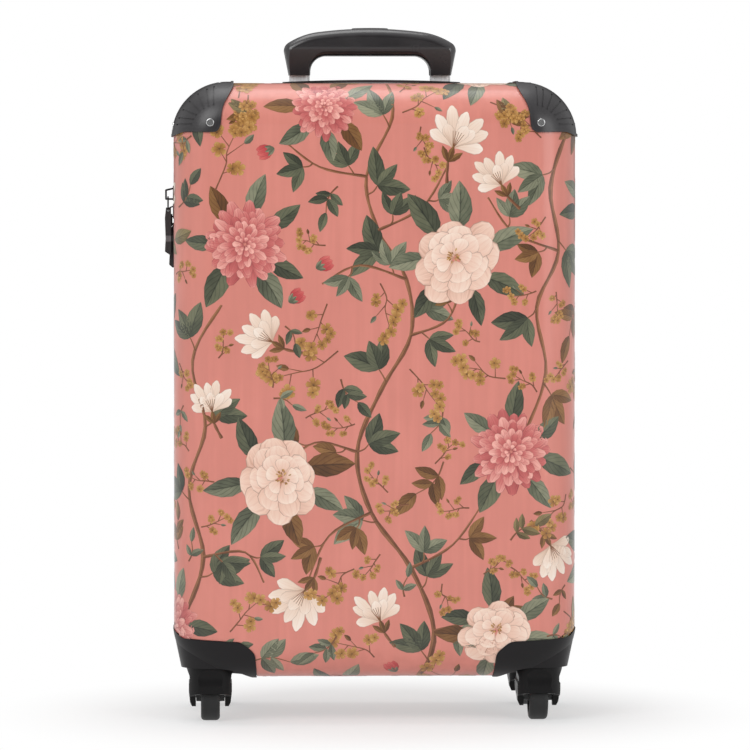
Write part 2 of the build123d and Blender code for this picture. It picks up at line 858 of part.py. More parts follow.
with BuildPart() as left_fork:
    with BuildSketch(Plane.XZ.offset(caster_y - 60)):
        with BuildLine():
            right = [
                (prong_out - 1.4, prong_low),
                (prong_out + 0.4, prong_low + 4),
                (fork_half_w, 27),
                (fork_half_w, 33.2),
                (neck_r, 34.8),
                (neck_r, 39.2),
                (crown_half, 46.2),
                (crown_half, fork_top),
            ]
            left = [(-x, z) for x, z in reversed(right)]
            Polyline(*[(x - caster_x, z) for x, z in right + left], close=True)
        make_face()
    extrude(amount=120)
    with BuildSketch(Plane.YZ.offset(-caster_x - 40)) as fork_side:
        with BuildLine():
            hood = ThreePointArc(from_axle(hood_r, 78), from_axle(hood_r, 45), from_axle(hood_r, 8))
            front_y = -caster_y - fork_front
            brow = Spline(
                (front_y + 1.6, 25), (front_y, 31), (front_y + 0.4, 39),
                (-caster_y - crown_half, 46.2), tangents=[(-0.4, 1), (-0.7, 1)],
            )
            Polyline(
                hood @ 1, (axle_y + 9, wheel_r - 2.5), (axle_y + 5, prong_low),
                (axle_y - 5, prong_low), (axle_y - 9, wheel_r - 1), brow @ 0,
            )
            Polyline(brow @ 1, (-caster_y - crown_half, fork_top), (axle_y + 6, fork_top), hood @ 0)
        make_face()
        low_ends = fork_side.vertices().filter_by(lambda v: abs(v.Y - prong_low) < 0.1)
        fillet(low_ends, 3)
    extrude(amount=80, mode=Mode.INTERSECT)
    with BuildSketch(Plane.XY) as fork_plan:
        with Locations((-caster_x, -caster_y)):
            Circle(plan_r)
        with Locations((-caster_x, -caster_y + plan_tail / 2)):
            Rectangle(2 * plan_r, plan_tail)
        fillet(fork_plan.vertices().group_by(Axis.Y)[-1], 9)
    extrude(amount=60, mode=Mode.INTERSECT)
    with BuildSketch(Plane.YZ.offset(-caster_x - prong_gap)):
        with Locations((axle_y, wheel_r)):
            Circle(hood_room_r)
    extrude(amount=2 * prong_gap, mode=Mode.SUBTRACT)
    with BuildSketch(Plane.YZ.offset(-caster_x - 40)):
        with Locations((axle_y, wheel_r)):
            Circle(axle_r)
    extrude(amount=80, mode=Mode.SUBTRACT)
    with BuildSketch(Plane((-caster_x, -caster_y, stem_bottom))):
        Circle(stem_r)
    extrude(amount=20, mode=Mode.SUBTRACT)

with BuildPart() as left_stem:
    with BuildSketch(Plane((-caster_x, -caster_y, stem_bottom))):
        Circle(stem_r)
    extrude(amount=stem_top - stem_bottom)
    chamfer(left_stem.faces().sort_by(Axis.Z)[-1].edges(), 0.8)

axle_end = fork_half_w - 0.4
with BuildPart() as left_axle:
    with BuildSketch(Plane.YZ.offset(-caster_x - axle_end)):
        with Locations((axle_y, wheel_r)):
            Circle(axle_r)
    extrude(amount=2 * axle_end)
    chamfer(left_axle.faces().filter_by(Axis.X).edges(), 0.4)


def wheel_turned(profile, edge_round=0.0):
    """A solid turned about the axle from (radius, distance from the middle) points."""
    with BuildPart() as turned:
        with BuildSketch(Plane((-caster_x, axle_y, wheel_r), x_dir=(0, 1, 0), z_dir=(0, 0, 1))) as half:
            with BuildLine():
                across = [(r, -w) for r, w in profile]
                Polyline(*across, *[(r, -w) for r, w in reversed(across)], close=True)
            make_face()
            if edge_round:
                fillet(half.vertices().group_by(Axis.X)[-1], edge_round)
        revolve(axis=Axis((-caster_x, axle_y, wheel_r), (1, 0, 0)))
    return turned.part


core_profile = [
    (axle_r + running_gap, hub_half),
    (hub_r, hub_half),
    (hub_r + 0.6, web_t / 2),
    (tyre_inner_r - 2.4, web_t / 2),
    (tyre_inner_r - 1.8, wheel_w / 2 - 0.6),
    (tyre_inner_r, wheel_w / 2 - 0.6),
]
tyre_profile = [(tyre_inner_r, wheel_w / 2), (wheel_r, wheel_w / 2)]
left_core = wheel_turned(core_profile)
left_tyre = wheel_turned(tyre_profile, 3.4)

# All four wheels trail to the rear, as after the case was pushed forwards
caster_pieces = {
    "caster_fork": left_fork.part,
    "caster_stem": left_stem.part,
    "wheel_axle": left_axle.part,
    "wheel_core": left_core,
    "wheel_tyre": left_tyre,
}
caster_shifts = {
    "front_left": (0, 0),
    "front_right": (2 * caster_x, 0),
    "rear_left": (0, 2 * caster_y),
    "rear_right": (2 * caster_x, 2 * caster_y),
}
for corner, shift in caster_shifts.items():
    for name, piece in caster_pieces.items():
        with BuildPart() as placed:
            with Locations(shift):
                add(piece)
        write(placed.part, f"{corner}_{name}")


# Cloth lining of both halves, drawn over the wheel sockets and the handle's tubes
lining_t = 0.6
lining_sunk = wall + 1.1
lining_floor = 66.4


def lining_bumps(grow):
    """What the lining goes round: the wheel sockets in the lower corners."""
    with BuildPart() as bumps:
        add(
            about_caster(
                [
                    (0, 20),
                    (42 + grow, 20),
                    (42 + grow, 42 + grow),
                    (34.5 + grow, 58 + grow),
                    (34.5 + grow, socket_top + 3.5 + grow),
                    (0, socket_top + 3.5 + grow),
                ]
            )
        )
        mirror(about=Plane.YZ)
    return bumps.part


with BuildPart() as front_lining:
    add(half_block(-lining_sunk))
    add(lining_bumps(0), mode=Mode.SUBTRACT)
    with BuildPart(mode=Mode.PRIVATE) as front_space:
        add(half_block(-lining_sunk - lining_t))
        add(lining_bumps(lining_t), mode=Mode.SUBTRACT)
    add(front_space.part, mode=Mode.SUBTRACT)
write(front_lining.part, "front_lining")


def rear_lining_block(grow):
    """The rear half's lined space, less the cover over the carry handle's sockets."""
    with BuildPart() as block:
        add(straight_block(-lining_sunk - grow, rim_y, lining_floor - grow))
        add(lining_bumps(grow), mode=Mode.SUBTRACT)
        with BuildSketch(Plane.XY.offset(sleeve_bottom - 3 - grow)):
            with Locations((0, -carry_y)):
                RectangleRounded(2 * carry_leg_x + 28 + 2 * grow, carry_w + 5 + 2 * grow, 8)
        extrude(amount=60, mode=Mode.SUBTRACT)
    return block.part


with BuildPart() as rear_lining_plan:
    add(rear_lining_block(0))
    add(rear_lining_block(lining_t), mode=Mode.SUBTRACT)
write(mirrored(rear_lining_plan.part, Plane.XZ), "rear_lining")

strap_w = 25.0
strap_t = 1.0
strap_reach = (112.0, 150.0)
strap_y = lining_floor - lining_t - strap_t - 0.1

with BuildPart() as packing_straps:
    with BuildSketch(Plane.XZ.offset(-strap_y - strap_t)):
        with Locations((0, mid_z)):
            length = 2 * math.hypot(*strap_reach)
            angle = math.degrees(math.atan2(strap_reach[1], strap_reach[0]))
            for turn in (angle, -angle):
                RectangleRounded(length, strap_w, 3, rotation=turn)
    extrude(amount=strap_t)
write(packing_straps.part, "packing_straps")

buckle_t = 7.0
with BuildPart() as strap_buckle:
    with BuildSketch(Plane.XZ.offset(-strap_y)) as buckle_front:
        with Locations((0, mid_z)):
            Rectangle(54, 34)
            fillet(buckle_front.vertices(), 7)
            with Locations((-21, 0), (21, 0)):
                SlotOverall(24, 4, rotation=90, mode=Mode.SUBTRACT)
    extrude(amount=buckle_t)
    fillet(strap_buckle.faces().sort_by(Axis.Y)[0].edges(), 1.6)
write(strap_buckle.part, "strap_buckle")
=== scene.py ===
"""Looks of a hard-shell cabin suitcase with a printed front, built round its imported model.

Sizes named here are in millimetres in the case's own frame: +Z up, -Y out of the front,
the floor at Z = 0. Meshes are made in metres.
"""

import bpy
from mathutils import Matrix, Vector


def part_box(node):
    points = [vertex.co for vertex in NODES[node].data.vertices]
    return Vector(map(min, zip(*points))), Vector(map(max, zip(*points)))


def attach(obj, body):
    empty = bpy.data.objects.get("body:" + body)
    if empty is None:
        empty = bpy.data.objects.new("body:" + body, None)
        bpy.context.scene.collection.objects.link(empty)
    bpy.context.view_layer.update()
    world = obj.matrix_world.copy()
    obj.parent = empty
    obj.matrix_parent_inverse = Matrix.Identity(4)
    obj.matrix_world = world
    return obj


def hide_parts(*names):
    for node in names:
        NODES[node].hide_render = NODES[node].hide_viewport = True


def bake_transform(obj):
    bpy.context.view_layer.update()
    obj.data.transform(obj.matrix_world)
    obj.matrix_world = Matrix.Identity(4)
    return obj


bl_info = {
    "name": "Printed cabin suitcase",
    "version": (1, 0, 0),
    "blender": (4, 5, 0),
    "location": "3D View > Sidebar > Suitcase",
    "description": "Dresses the suitcase: printed shells, mouldings, casters, zip, lining and stage",
    "category": "Object",
}

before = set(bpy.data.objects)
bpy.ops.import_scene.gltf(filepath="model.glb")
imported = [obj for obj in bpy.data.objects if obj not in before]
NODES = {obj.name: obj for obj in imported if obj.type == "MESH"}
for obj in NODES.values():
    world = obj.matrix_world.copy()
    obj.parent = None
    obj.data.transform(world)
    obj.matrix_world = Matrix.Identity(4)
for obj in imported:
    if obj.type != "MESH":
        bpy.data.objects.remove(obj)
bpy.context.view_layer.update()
import contextlib
import math
import random

import bmesh
import bpy
import numpy as np
from bpy.props import FloatProperty, FloatVectorProperty, IntProperty, PointerProperty
from mathutils import Vector, noise

MM = 0.001

# The case body, as its construction gives it
HALF_X = 173.0
HALF_Z = 255.9
MID_Z = 295.1
HALF_D = 97.5
CORNER_R = 46.0
EDGE_R = 35.0
RIM_Y = 7.0
CASTER_X = 142.0
CASTER_Y = 62.0
CORE_X = HALF_X - CORNER_R
CORE_Z = HALF_Z - CORNER_R
ZIP_END = 203.9
LINING_SUNK = 3.3
# The signs of X and Z at the body's corners, in the order that the zip and lining go round
CORNER_ORDER = ((1, 1), (-1, 1), (-1, -1), (1, -1))


def linear(code):
    """An sRGB hex colour as the linear red, green and blue that shaders take."""
    channels = [int(code[i:i + 2], 16) / 255 for i in (0, 2, 4)]
    return tuple(c / 12.92 if c <= 0.04045 else ((c + 0.055) / 1.055) ** 2.4 for c in channels)


class Nodes:
    """A node tree to which each call adds one node and gives back the socket it ends in."""

    def __init__(self, tree):
        self.tree = tree

    def add(self, kind, inputs=None, out=0, **settings):
        """Adds a node with its settings and its values or links."""
        made = self.tree.nodes.new("ShaderNode" + kind)
        for name, value in settings.items():
            setattr(made, name, value)
        for key, value in (inputs or {}).items():
            if isinstance(value, bpy.types.NodeSocket):
                self.tree.links.new(value, made.inputs[key])
            else:
                made.inputs[key].default_value = value
        return made.outputs[out]

    def math(self, operation, *values):
        """One step of arithmetic."""
        return self.add("Math", dict(enumerate(values)), operation=operation)

    def spread(self, value, low, high, to_low=0.0, to_high=1.0, **settings):
        """A value's range stretched to another one and held inside it."""
        return self.add(
            "MapRange",
            {"Value": value, "From Min": low, "From Max": high, "To Min": to_low, "To Max": to_high},
            **settings,
        )

    def split(self, vector):
        """The three coordinates of a vector."""
        return self.add("SeparateXYZ", {"Vector": vector}).node.outputs

    def ramp(self, value, *stops):
        """A colour by value, through stops of a place and a linear colour."""
        made = self.add("ValToRGB", {"Fac": value})
        marks = made.node.color_ramp.elements
        while len(marks) < len(stops):
            marks.new(0.5)
        for mark, (place, colour) in zip(marks, stops):
            mark.position = place
            mark.color = (*colour, 1.0)
        return made

    def rays(self, first, *others):
        """Whether a ray is of one of these kinds."""
        path = self.add("LightPath").node.outputs
        found = path[f"Is {first} Ray"]
        for kind in others:
            found = self.math("MAXIMUM", found, path[f"Is {kind} Ray"])
        return found


class Finish(Nodes):
    """A material under way: its nodes, its shader and its place in the piece's own space."""

    def __init__(self, name, **values):
        self.material = bpy.data.materials.new(name)
        self.material.use_nodes = True
        super().__init__(self.material.node_tree)
        self.shader = self.tree.nodes["Principled BSDF"]
        for socket, value in values.items():
            self.shader.inputs[socket.replace("_", " ")].default_value = value
        self.place = self.add("TexCoord", out="Object")

    def noise(self, scale, detail=2.0, place=None, **inputs):
        """Soft noise, at the piece's own place unless another is given."""
        vector = self.place if place is None else place
        return self.add("TexNoise", {"Vector": vector, "Scale": scale, "Detail": detail, **inputs})

    def stretched(self, *scale, place=None):
        """A place scaled by a different amount on each axis."""
        vector = self.place if place is None else place
        return self.add("Mapping", {"Vector": vector, "Scale": scale})

    def uv(self):
        """The piece's own UV map."""
        return self.add("UVMap", out="UV")

    def shade(self):
        """The tone that each printed shape was given."""
        return self.add("Attribute", out="Fac", attribute_name="shade")

    def feed(self, name, value):
        """Links a socket to the shader."""
        self.tree.links.new(value, self.shader.inputs[name])

    def colour(self, value, *stops):
        """Colours the shader by value."""
        self.feed("Base Color", self.ramp(value, *stops))

    def bump(self, height, distance_mm, strength):
        """Feeds a height to the shader as bump of a real depth."""
        self.feed("Normal", self.add(
            "Bump", {"Height": height, "Distance": distance_mm * MM, "Strength": strength},
            out="Normal",
        ))


# Materials


def scaled(colour, factor):
    """A colour made deeper or paler."""
    return tuple(c * factor for c in colour)


FILM = {"Roughness": 0.3, "Coat_Weight": 0.18, "Coat_Roughness": 0.16, "IOR": 1.5}


def printed_polycarbonate(colour):
    """Vacuum-formed polycarbonate under a printed film: glossy, with faint orange peel."""
    made = Finish("printed_polycarbonate", **FILM)
    cloud = made.noise(14.0, 4.0, Roughness=0.6)
    streaks = made.noise(1.0, 2.0, made.stretched(150.0, 150.0, 9.0))
    tint = made.spread(made.math("ADD", cloud, streaks), 0.7, 1.3)
    paler = tuple(min(1.0, c * 1.05 + 0.006) for c in colour)
    made.colour(tint, (0.0, scaled(colour, 0.96)), (0.5, colour), (1.0, paler))
    made.bump(made.noise(420.0, 1.0), 0.02, 0.35)
    return made.material


def moulded_plastic(name, code, roughness, shine=0.5):
    """Injection-moulded plastic: a fine spark-eroded grain and slightly uneven gloss."""
    grain_mm, grain_depth_mm, uneven = 0.5, 0.03, 0.12
    made = Finish(name, Roughness=roughness, IOR=1.5, Specular_IOR_Level=shine)
    cloud = made.noise(30.0, 3.0)
    base = linear(code)
    made.colour(cloud, (0.3, scaled(base, 1 - uneven)), (0.7, scaled(base, 1 + uneven)))
    made.feed("Roughness", made.spread(cloud, 0.3, 0.7, roughness - 0.05, roughness + 0.06))
    made.bump(made.noise(1000.0 / grain_mm / 2), grain_depth_mm, 0.6)
    return made.material


def anodised_aluminium(name, code):
    """Extruded aluminium tube, fine-brushed along its length and anodised."""
    made = Finish(name, Metallic=0.1, Roughness=0.4)
    lines = made.noise(1.0, 3.0, made.stretched(1800.0, 1800.0, 16.0))
    base = linear(code)
    made.colour(lines, (0.3, scaled(base, 0.86)), (0.7, base))
    made.bump(lines, 0.01, 0.4)
    return made.material


def bright_metal(name, code, roughness, scratch_scale):
    """Plated or turned metal with faint swirl marks from handling."""
    made = Finish(name, Metallic=1.0, Roughness=roughness)
    marks = made.noise(scratch_scale, 4.0)
    base = linear(code)
    made.colour(marks, (0.35, scaled(base, 0.82)), (0.65, base))
    made.bump(marks, 0.008, 0.4)
    return made.material


def tyre_polyurethane():
    """Cast polyurethane tyre: matt, with fine turning rings and a trace of floor dust."""
    made = Finish("tyre_polyurethane", Roughness=0.55, IOR=1.5)
    made.colour(made.noise(60.0, 5.0), (0.3, linear("0C0C0D")), (0.7, linear("161617")))
    rings = made.add(
        "TexWave", {"Vector": made.place, "Scale": 320.0, "Distortion": 0.6}, out="Fac",
        bands_direction="X",
    )
    made.bump(rings, 0.04, 0.5)
    return made.material


def woven_cloth(name, dark, light, thread_mm, axes, sheen=0.15):
    """Plain-woven polyester: threads over and under each other, along two of the axes, with painted
    shade where the weave lies low.
    """
    made = Finish(name, Roughness=0.85, Sheen_Weight=sheen, Sheen_Roughness=0.5)
    wave = {"Vector": made.place, "Scale": 1000.0 / thread_mm / 20.0 * 3.1416, "Distortion": 0.8,
            "Detail": 1.0, "Detail Scale": 2.0}
    threads = [made.add("TexWave", wave, out="Fac", bands_direction=axis) for axis in axes]
    weave = made.math("MULTIPLY", *threads)
    # Colour darker where the weave lies low: painted shade in the hollows between threads, mixed with
    # random tone from noise
    weave_shade_and_tone = made.math("ADD", weave, made.noise(25.0, 4.0))
    made.colour(weave_shade_and_tone, (0.35, linear(dark)), (1.0, linear(light)))
    made.bump(weave, 0.12, 0.7)
    return made.material


def ribbed_webbing(name, rib_mm, pick_mm):
    """Flat woven tape: ribs along it and picks across, read from its own UV map in metres, with
    painted shade where the weave lies low.
    """
    made = Finish(name, Roughness=0.8, Sheen_Weight=0.2, Sheen_Roughness=0.4)
    across, along, _ = made.split(made.uv())
    ribs, picks = (
        made.math("SINE", made.math("MULTIPLY", place, 2000 * math.pi / size))
        for place, size in ((across, rib_mm), (along, pick_mm))
    )
    height = made.math("MULTIPLY", ribs, picks)
    # Colour darker where the weave lies low: painted shade in the grooves between ribs and picks
    made.colour(made.spread(height, -1.0, 1.0), (0.0, linear("161617")), (1.0, linear("2C2B2D")))
    made.bump(height, 0.15, 0.7)
    return made.material


def pull_tab_rubber():
    """Soft-moulded pull tab: charcoal, with a paler band near its foot."""
    made = Finish("pull_tab_rubber", Roughness=0.5, IOR=1.5)
    low, high = (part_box("upper_pull_tab")[i].z for i in (0, 1))
    share = made.spread(made.split(made.place)["Z"], low, high)
    charcoal, band = linear("2B2A2C"), linear("6A696C")
    made.colour(share, (0.27, charcoal), (0.30, band), (0.39, band), (0.42, charcoal))
    made.bump(made.noise(1400.0), 0.02, 0.5)
    return made.material


def leaf_ink(name, dark, middle, light):
    """Leaf printed in three tones: a folded light and dark half, a midrib and side veins."""
    made = Finish(name, **FILM)
    u, v, _ = made.split(made.uv())
    side = made.math("SUBTRACT", u, 0.5)
    across = made.math("ABSOLUTE", side)
    fold = made.math("GREATER_THAN", side, 0.0)
    rows = made.math("MULTIPLY_ADD", v, 8.0, 0.0)
    saw = made.math("FRACT", made.math("MULTIPLY_ADD", across, -4.5, rows))
    vein = made.spread(saw, 0.0, 0.3, -0.2, 0.06)
    rib = made.spread(across, 0.0, 0.05, -0.4, 0.0)
    total = made.math("MULTIPLY_ADD", fold, 0.26, vein)
    total = made.math("MULTIPLY_ADD", v, 0.22, total)
    total = made.math("MULTIPLY_ADD", made.noise(110.0, 5.0), 0.5, total)
    total = made.math("ADD", made.math("ADD", total, rib), made.shade())
    made.colour(total, (0.05, linear(dark)), (0.42, linear(middle)), (0.85, linear(light)))
    return made.material


def petal_ink(name, line, base, middle, tip):
    """Petal printed in washes from its base to a pale tip, streaked, with a drawn outline."""
    made = Finish(name, **FILM)
    uv = made.uv()
    u, v, _ = made.split(uv)
    shade = made.shade()
    moved = made.add(
        "VectorMath", {0: made.stretched(9.0, 1.2, 1.0, place=uv), 1: shade}, operation="ADD"
    )
    total = made.math("MULTIPLY_ADD", made.noise(1.6, 3.0, moved), 0.55, shade)
    total = made.math("MULTIPLY_ADD", v, 0.62, total)
    wash = made.ramp(total, (0.22, linear(base)), (0.6, linear(middle)), (1.0, linear(tip)))
    from_tip = made.math("SUBTRACT", 1.0, v)
    nearest = made.math("MINIMUM", made.math("PINGPONG", u, 0.5), from_tip)
    drawn = made.spread(nearest, 0.012, 0.05, 0.6, 0.0)
    made.feed("Base Color", made.add(
        "Mix", {"Factor": drawn, 6: wash, 7: (*linear(line), 1.0)}, out=2, data_type="RGBA"
    ))
    return made.material


# Every ink of the print with its tones, dark to light; a petal's first one is its outline
INKS = {
    "leaf_sage": (leaf_ink, "333628", "626651", "939379"),
    "leaf_deep": (leaf_ink, "1E2016", "434735", "6D6F55"),
    "leaf_brown": (leaf_ink, "41260F", "6B4420", "946B3C"),
    "leaf_olive": (leaf_ink, "3A3018", "655636", "8E7E55"),
    "petal_cream": (petal_ink, "8A5241", "C58F79", "EBC5B1", "F8E3D3"),
    "petal_coral": (petal_ink, "742A30", "93363B", "C66562", "F2B5A8"),
    "petal_white": (petal_ink, "8C6650", "BC9378", "ECD3C0", "F8EBDF"),
    "petal_ochre": (petal_ink, "4A2C10", "7C5024", "AE7C3E", "D3A766"),
    "petal_red": (petal_ink, "6B2026", "942B31", "BC4144", "DE7770"),
    "stem_brown": (leaf_ink, "4A2915", "7A4B30", "A4714C"),
}
INK_ORDER = list(INKS)


# Meshes


def lattice(rows, wide, closed=False):
    """The four-sided faces of a grid of points, joined across its width if closed."""
    return [
        (r * wide + c, r * wide + (c + 1) % wide, (r + 1) * wide + (c + 1) % wide, (r + 1) * wide + c)
        for r in range(rows - 1) for c in range(wide if closed else wide - 1)
    ]


@contextlib.contextmanager
def reworked(mesh):
    """A mesh opened for editing, and written back afterwards."""
    tidy = bmesh.new()
    tidy.from_mesh(mesh)
    yield tidy
    tidy.to_mesh(mesh)
    tidy.free()


def make_piece(name, points, faces, material, uvs=None):
    """A smooth mesh from points in mm, with one material and maybe a UV pair for each point."""
    mesh = bpy.data.meshes.new(name)
    mesh.from_pydata([tuple(c * MM for c in p) for p in points], [], faces)
    if uvs:
        layer = mesh.uv_layers.new(name="UVMap")
        for loop in mesh.loops:
            layer.data[loop.index].uv = uvs[loop.vertex_index]
    mesh.materials.append(material)
    mesh.polygons.foreach_set("use_smooth", [True] * len(mesh.polygons))
    piece = bpy.data.objects.new(name, mesh)
    bpy.context.scene.collection.objects.link(piece)
    return piece


def make_tube(name, points, wide, material, uvs=None, capped=True):
    """A closed profile of so many points carried along a row of places, its faces facing out."""
    faces = lattice(len(points) // wide, wide, True)
    if capped:
        faces += [list(range(wide)), list(range(len(points) - wide, len(points)))]
    piece = make_piece(name, points, faces, material, uvs)
    turn_outward(piece)
    return piece


def turn_outward(piece):
    """Makes the faces of a closed piece face out."""
    with reworked(piece.data) as tidy:
        bmesh.ops.recalc_face_normals(tidy, faces=tidy.faces)


# The print: flat shapes drawn on the unrolled shell, then laid on its curved surface

# How far above the shell the first layer lies, and each further one above it
FIRST_LIFT = 0.12
LAYER_LIFT = 0.003
# The shell begins to curve past these, and shapes there are cut in steps no longer than this
FLAT_X = 134.0
FLAT_Z = 217.0
CURVED_STEP = 5.5
# How far what lies on a wall stops short of the rim
RIM_GAP = 0.05
# How far a printed shape may reach under a moulding
TUCKED = 2.5


def on_shell(x, z, lift, depth=HALF_D, edge_r=EDGE_R, inset=0.0):
    """A point of the unrolled front on the real surface: (place, how far past the rim)."""
    corner = max(CORNER_R - inset - edge_r, 0.5)
    half_x = HALF_X - inset - edge_r - corner
    half_z = HALF_Z - inset - edge_r - corner
    core = Vector((max(-half_x, min(half_x, x)), max(-half_z, min(half_z, z))))
    out = Vector((x, z)) - core
    reach = out.length
    if reach <= corner:
        return Vector((x, -depth - lift, z + MID_Z)), 0.0
    out /= reach
    start = core + out * corner
    run = reach - corner
    arc = edge_r * math.pi / 2
    if run <= arc:
        turn = run / edge_r
        flat = start + out * (edge_r + lift) * math.sin(turn)
        y = edge_r - depth - (edge_r + lift) * math.cos(turn)
        return Vector((flat.x, y, flat.y + MID_Z)), 0.0
    wall = depth - edge_r - RIM_Y - RIM_GAP
    down = min(run - arc, wall)
    flat = start + out * (edge_r + lift)
    return Vector((flat.x, edge_r - depth + down, flat.y + MID_Z)), run - arc - wall


def under_moulding(point):
    """Whether a place on the shell lies well under a guard, housing, bezel or carry socket."""
    x, y, z = abs(point.x) - TUCKED, abs(point.y), point.z
    under_bezel = x < 83 and 62 < y < 91
    under_socket = 53 < x < 72 and 18 < y < 42
    if point.y > 0 and z > 540 and (under_bezel or under_socket):
        return True
    if y > 17 and z > 500 and x > 121:
        guard_foot = 504.6 if x > 176 else 509.4 if x > 133.6 else 531
        return z - TUCKED > guard_foot
    if y > 23 and z < 84 and x > 101:
        housing_top = 84 if x > 172 else 71.6 if x > 112 else 60
        return z + TUCKED < housing_top
    return False


def refine(rows, longest):
    """The same grid with more points, so that no step is longer than a length."""
    def split(lines):
        step = max(math.dist(a, b) for line in lines for a, b in zip(line, line[1:]))
        parts = max(1, math.ceil(step / longest))
        return [
            [
                tuple(p + (q - p) * k / parts for p, q in zip(a, b))
                for a, b in zip(line, line[1:]) for k in range(parts)
            ] + [line[-1]]
            for line in lines
        ]

    columns = split([list(column) for column in zip(*rows)])
    return split([list(row) for row in zip(*columns)])


class Print:
    """Gathers the printed shapes of one half of the case and makes them one mesh."""

    def __init__(self, name, rear):
        self.name = name
        self.rear = rear
        self.points = []
        self.faces = []
        self.uvs = []
        self.inks = []
        self.shades = []
        self.laid = []

    def lift_over(self, rows):
        """How far off the shell a new shape lies, to cover those under it, and if it curves."""
        xs = [x for row in rows for x, _ in row]
        zs = [z for row in rows for _, z in row]
        x0, x1, z0, z1 = min(xs), max(xs), min(zs), max(zs)
        under = [
            level for a, b, c, d, level in self.laid if a < x1 and x0 < b and c < z1 and z0 < d
        ]
        level = 1 + max(under, default=0)
        self.laid.append((x0, x1, z0, z1, level))
        curved = x0 < -FLAT_X or x1 > FLAT_X or z0 < -FLAT_Z or z1 > FLAT_Z
        return FIRST_LIFT + LAYER_LIFT * level, curved

    def add(self, rows, ink, shade):
        """Adds a grid of flat points, given as rows along the shape, over what is there."""
        lift, curved = self.lift_over(rows)
        if curved:
            rows = refine(rows, CURVED_STEP)
        start = len(self.points)
        wide = len(rows[0])
        past = []
        for row in rows:
            for x, z in row:
                point, over = on_shell(x, z, lift)
                if self.rear:
                    point = Vector((-point.x, -point.y, point.z))
                self.points.append(point * MM)
                past.append(over > 0 or under_moulding(point))
                self.shades.append(shade)
        for ring in lattice(len(rows), wide):
            if not all(past[i] for i in ring):
                self.faces.append([start + i for i in ring])
                self.inks.append(INK_ORDER.index(ink))
                self.uvs += [
                    ((i % wide) / (wide - 1), (i // wide) / (len(rows) - 1)) for i in ring
                ]

    def blade(self, root, heading, length, width, ink, shade=0.0, full=0.45, blunt=1.0, bend=0.0,
              ruffle=0.0, rows=9, columns=5, pose=None):
        """A leaf or petal from its root along a heading, widest at the share `full`."""
        power = math.log(0.5) / math.log(full)
        grid = []
        x, z = root
        last = 0.0
        for i in range(rows):
            v = (1 - math.cos(math.pi * i / (rows - 1))) / 2
            turn = math.radians(heading + bend * (v - 0.3))
            x += math.cos(turn) * length * (v - last)
            z += math.sin(turn) * length * (v - last)
            last = v
            half = width / 2 * max(math.sin(math.pi * v ** power), 0.0) ** blunt
            row = []
            for c in range(columns):
                u = 2 * c / (columns - 1) - 1
                wave = ruffle * length * v * v * math.sin(7.0 * u + heading) * half / (width / 2)
                aside, along = u * half, (wave + abs(u) * half * 0.10) * v
                row.append((
                    x - math.sin(turn) * aside + math.cos(turn) * along,
                    z + math.cos(turn) * aside + math.sin(turn) * along,
                ))
            grid.append([pose(p) for p in row] if pose else row)
        self.add(grid, ink, shade)

    def stem(self, places, thick, thin):
        """A tapering branch through given places, as a smooth ribbon."""
        line = smooth_line(places)
        grid = []
        for i, (x, z) in enumerate(line):
            before = line[max(i - 1, 0)]
            after = line[min(i + 1, len(line) - 1)]
            along = Vector((after[0] - before[0], after[1] - before[1])).normalized()
            half = (thick + (thin - thick) * i / (len(line) - 1)) / 2
            half *= 1 + 0.18 * math.sin(i * 1.7) * (thick > 2)
            grid.append([(x - along.y * half * k, z + along.x * half * k) for k in (-1, 0, 1)])
        self.add(grid, "stem_brown", 0.0)
        return line

    def build(self, materials, body):
        """Makes the mesh, with its UV map and shade attribute, riding on its half."""
        mesh = bpy.data.meshes.new(self.name)
        mesh.from_pydata(self.points, [], self.faces)
        layer = mesh.uv_layers.new(name="UVMap")
        for i, uv in enumerate(self.uvs):
            layer.data[i].uv = uv
        tone = mesh.attributes.new("shade", "FLOAT", "POINT")
        tone.data.foreach_set("value", self.shades)
        for material in materials:
            mesh.materials.append(material)
        mesh.polygons.foreach_set("material_index", self.inks)
        mesh.polygons.foreach_set("use_smooth", [True] * len(mesh.polygons))
        piece = bpy.data.objects.new(self.name, mesh)
        bpy.context.scene.collection.objects.link(piece)
        middle = Vector((0, 0, MID_Z * MM))
        with reworked(mesh) as tidy:
            loose = [v for v in tidy.verts if not v.link_faces]
            bmesh.ops.delete(tidy, geom=loose, context="VERTS")
            for face in tidy.faces:
                if face.normal.dot(face.calc_center_median() - middle) < 0:
                    face.normal_flip()
        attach(piece, body)


def smooth_line(places, steps=6):
    """A smooth line through places, with a few points on each stretch."""
    ends = [places[0], *places, places[-1]]
    line = []
    for a, b, c, d in zip(ends, ends[1:], ends[2:], ends[3:]):
        for k in range(steps):
            t = k / steps
            line.append(tuple(
                0.5 * (2 * q + (r - p) * t + (2 * p - 5 * q + 4 * r - s) * t * t
                       + (3 * q - p - 3 * r + s) * t ** 3)
                for p, q, r, s in zip(a, b, c, d)
            ))
    return line + [places[-1]]


def ahead(place, heading, far):
    """The place that lies a distance from another along a heading in degrees."""
    turn = math.radians(heading)
    return place[0] + math.cos(turn) * far, place[1] + math.sin(turn) * far


# Each ring of a bloom: petals, their length and width against the bloom's size, their tone
CAMELLIA_RINGS = [
    (8, 1.0, 0.74, -0.10), (7, 0.82, 0.62, -0.02), (6, 0.62, 0.5, 0.04), (5, 0.42, 0.36, 0.10),
]
DAHLIA_RINGS = [
    (17, 1.0, 0.30, -0.16), (19, 0.88, 0.26, -0.02), (17, 0.72, 0.23, -0.12),
    (15, 0.58, 0.20, 0.05), (13, 0.43, 0.17, -0.04), (10, 0.29, 0.13, 0.12), (7, 0.16, 0.09, 0.2),
]
# Each petal of a lily: degrees from its heading and share of its length
LILY_PETALS = [
    (-66, 0.72), (66, 0.70), (-44, 0.92), (42, 0.9), (-20, 1.0), (22, 1.04),
    (-32, 0.66), (2, 0.94), (30, 0.6), (-8, 0.62),
]


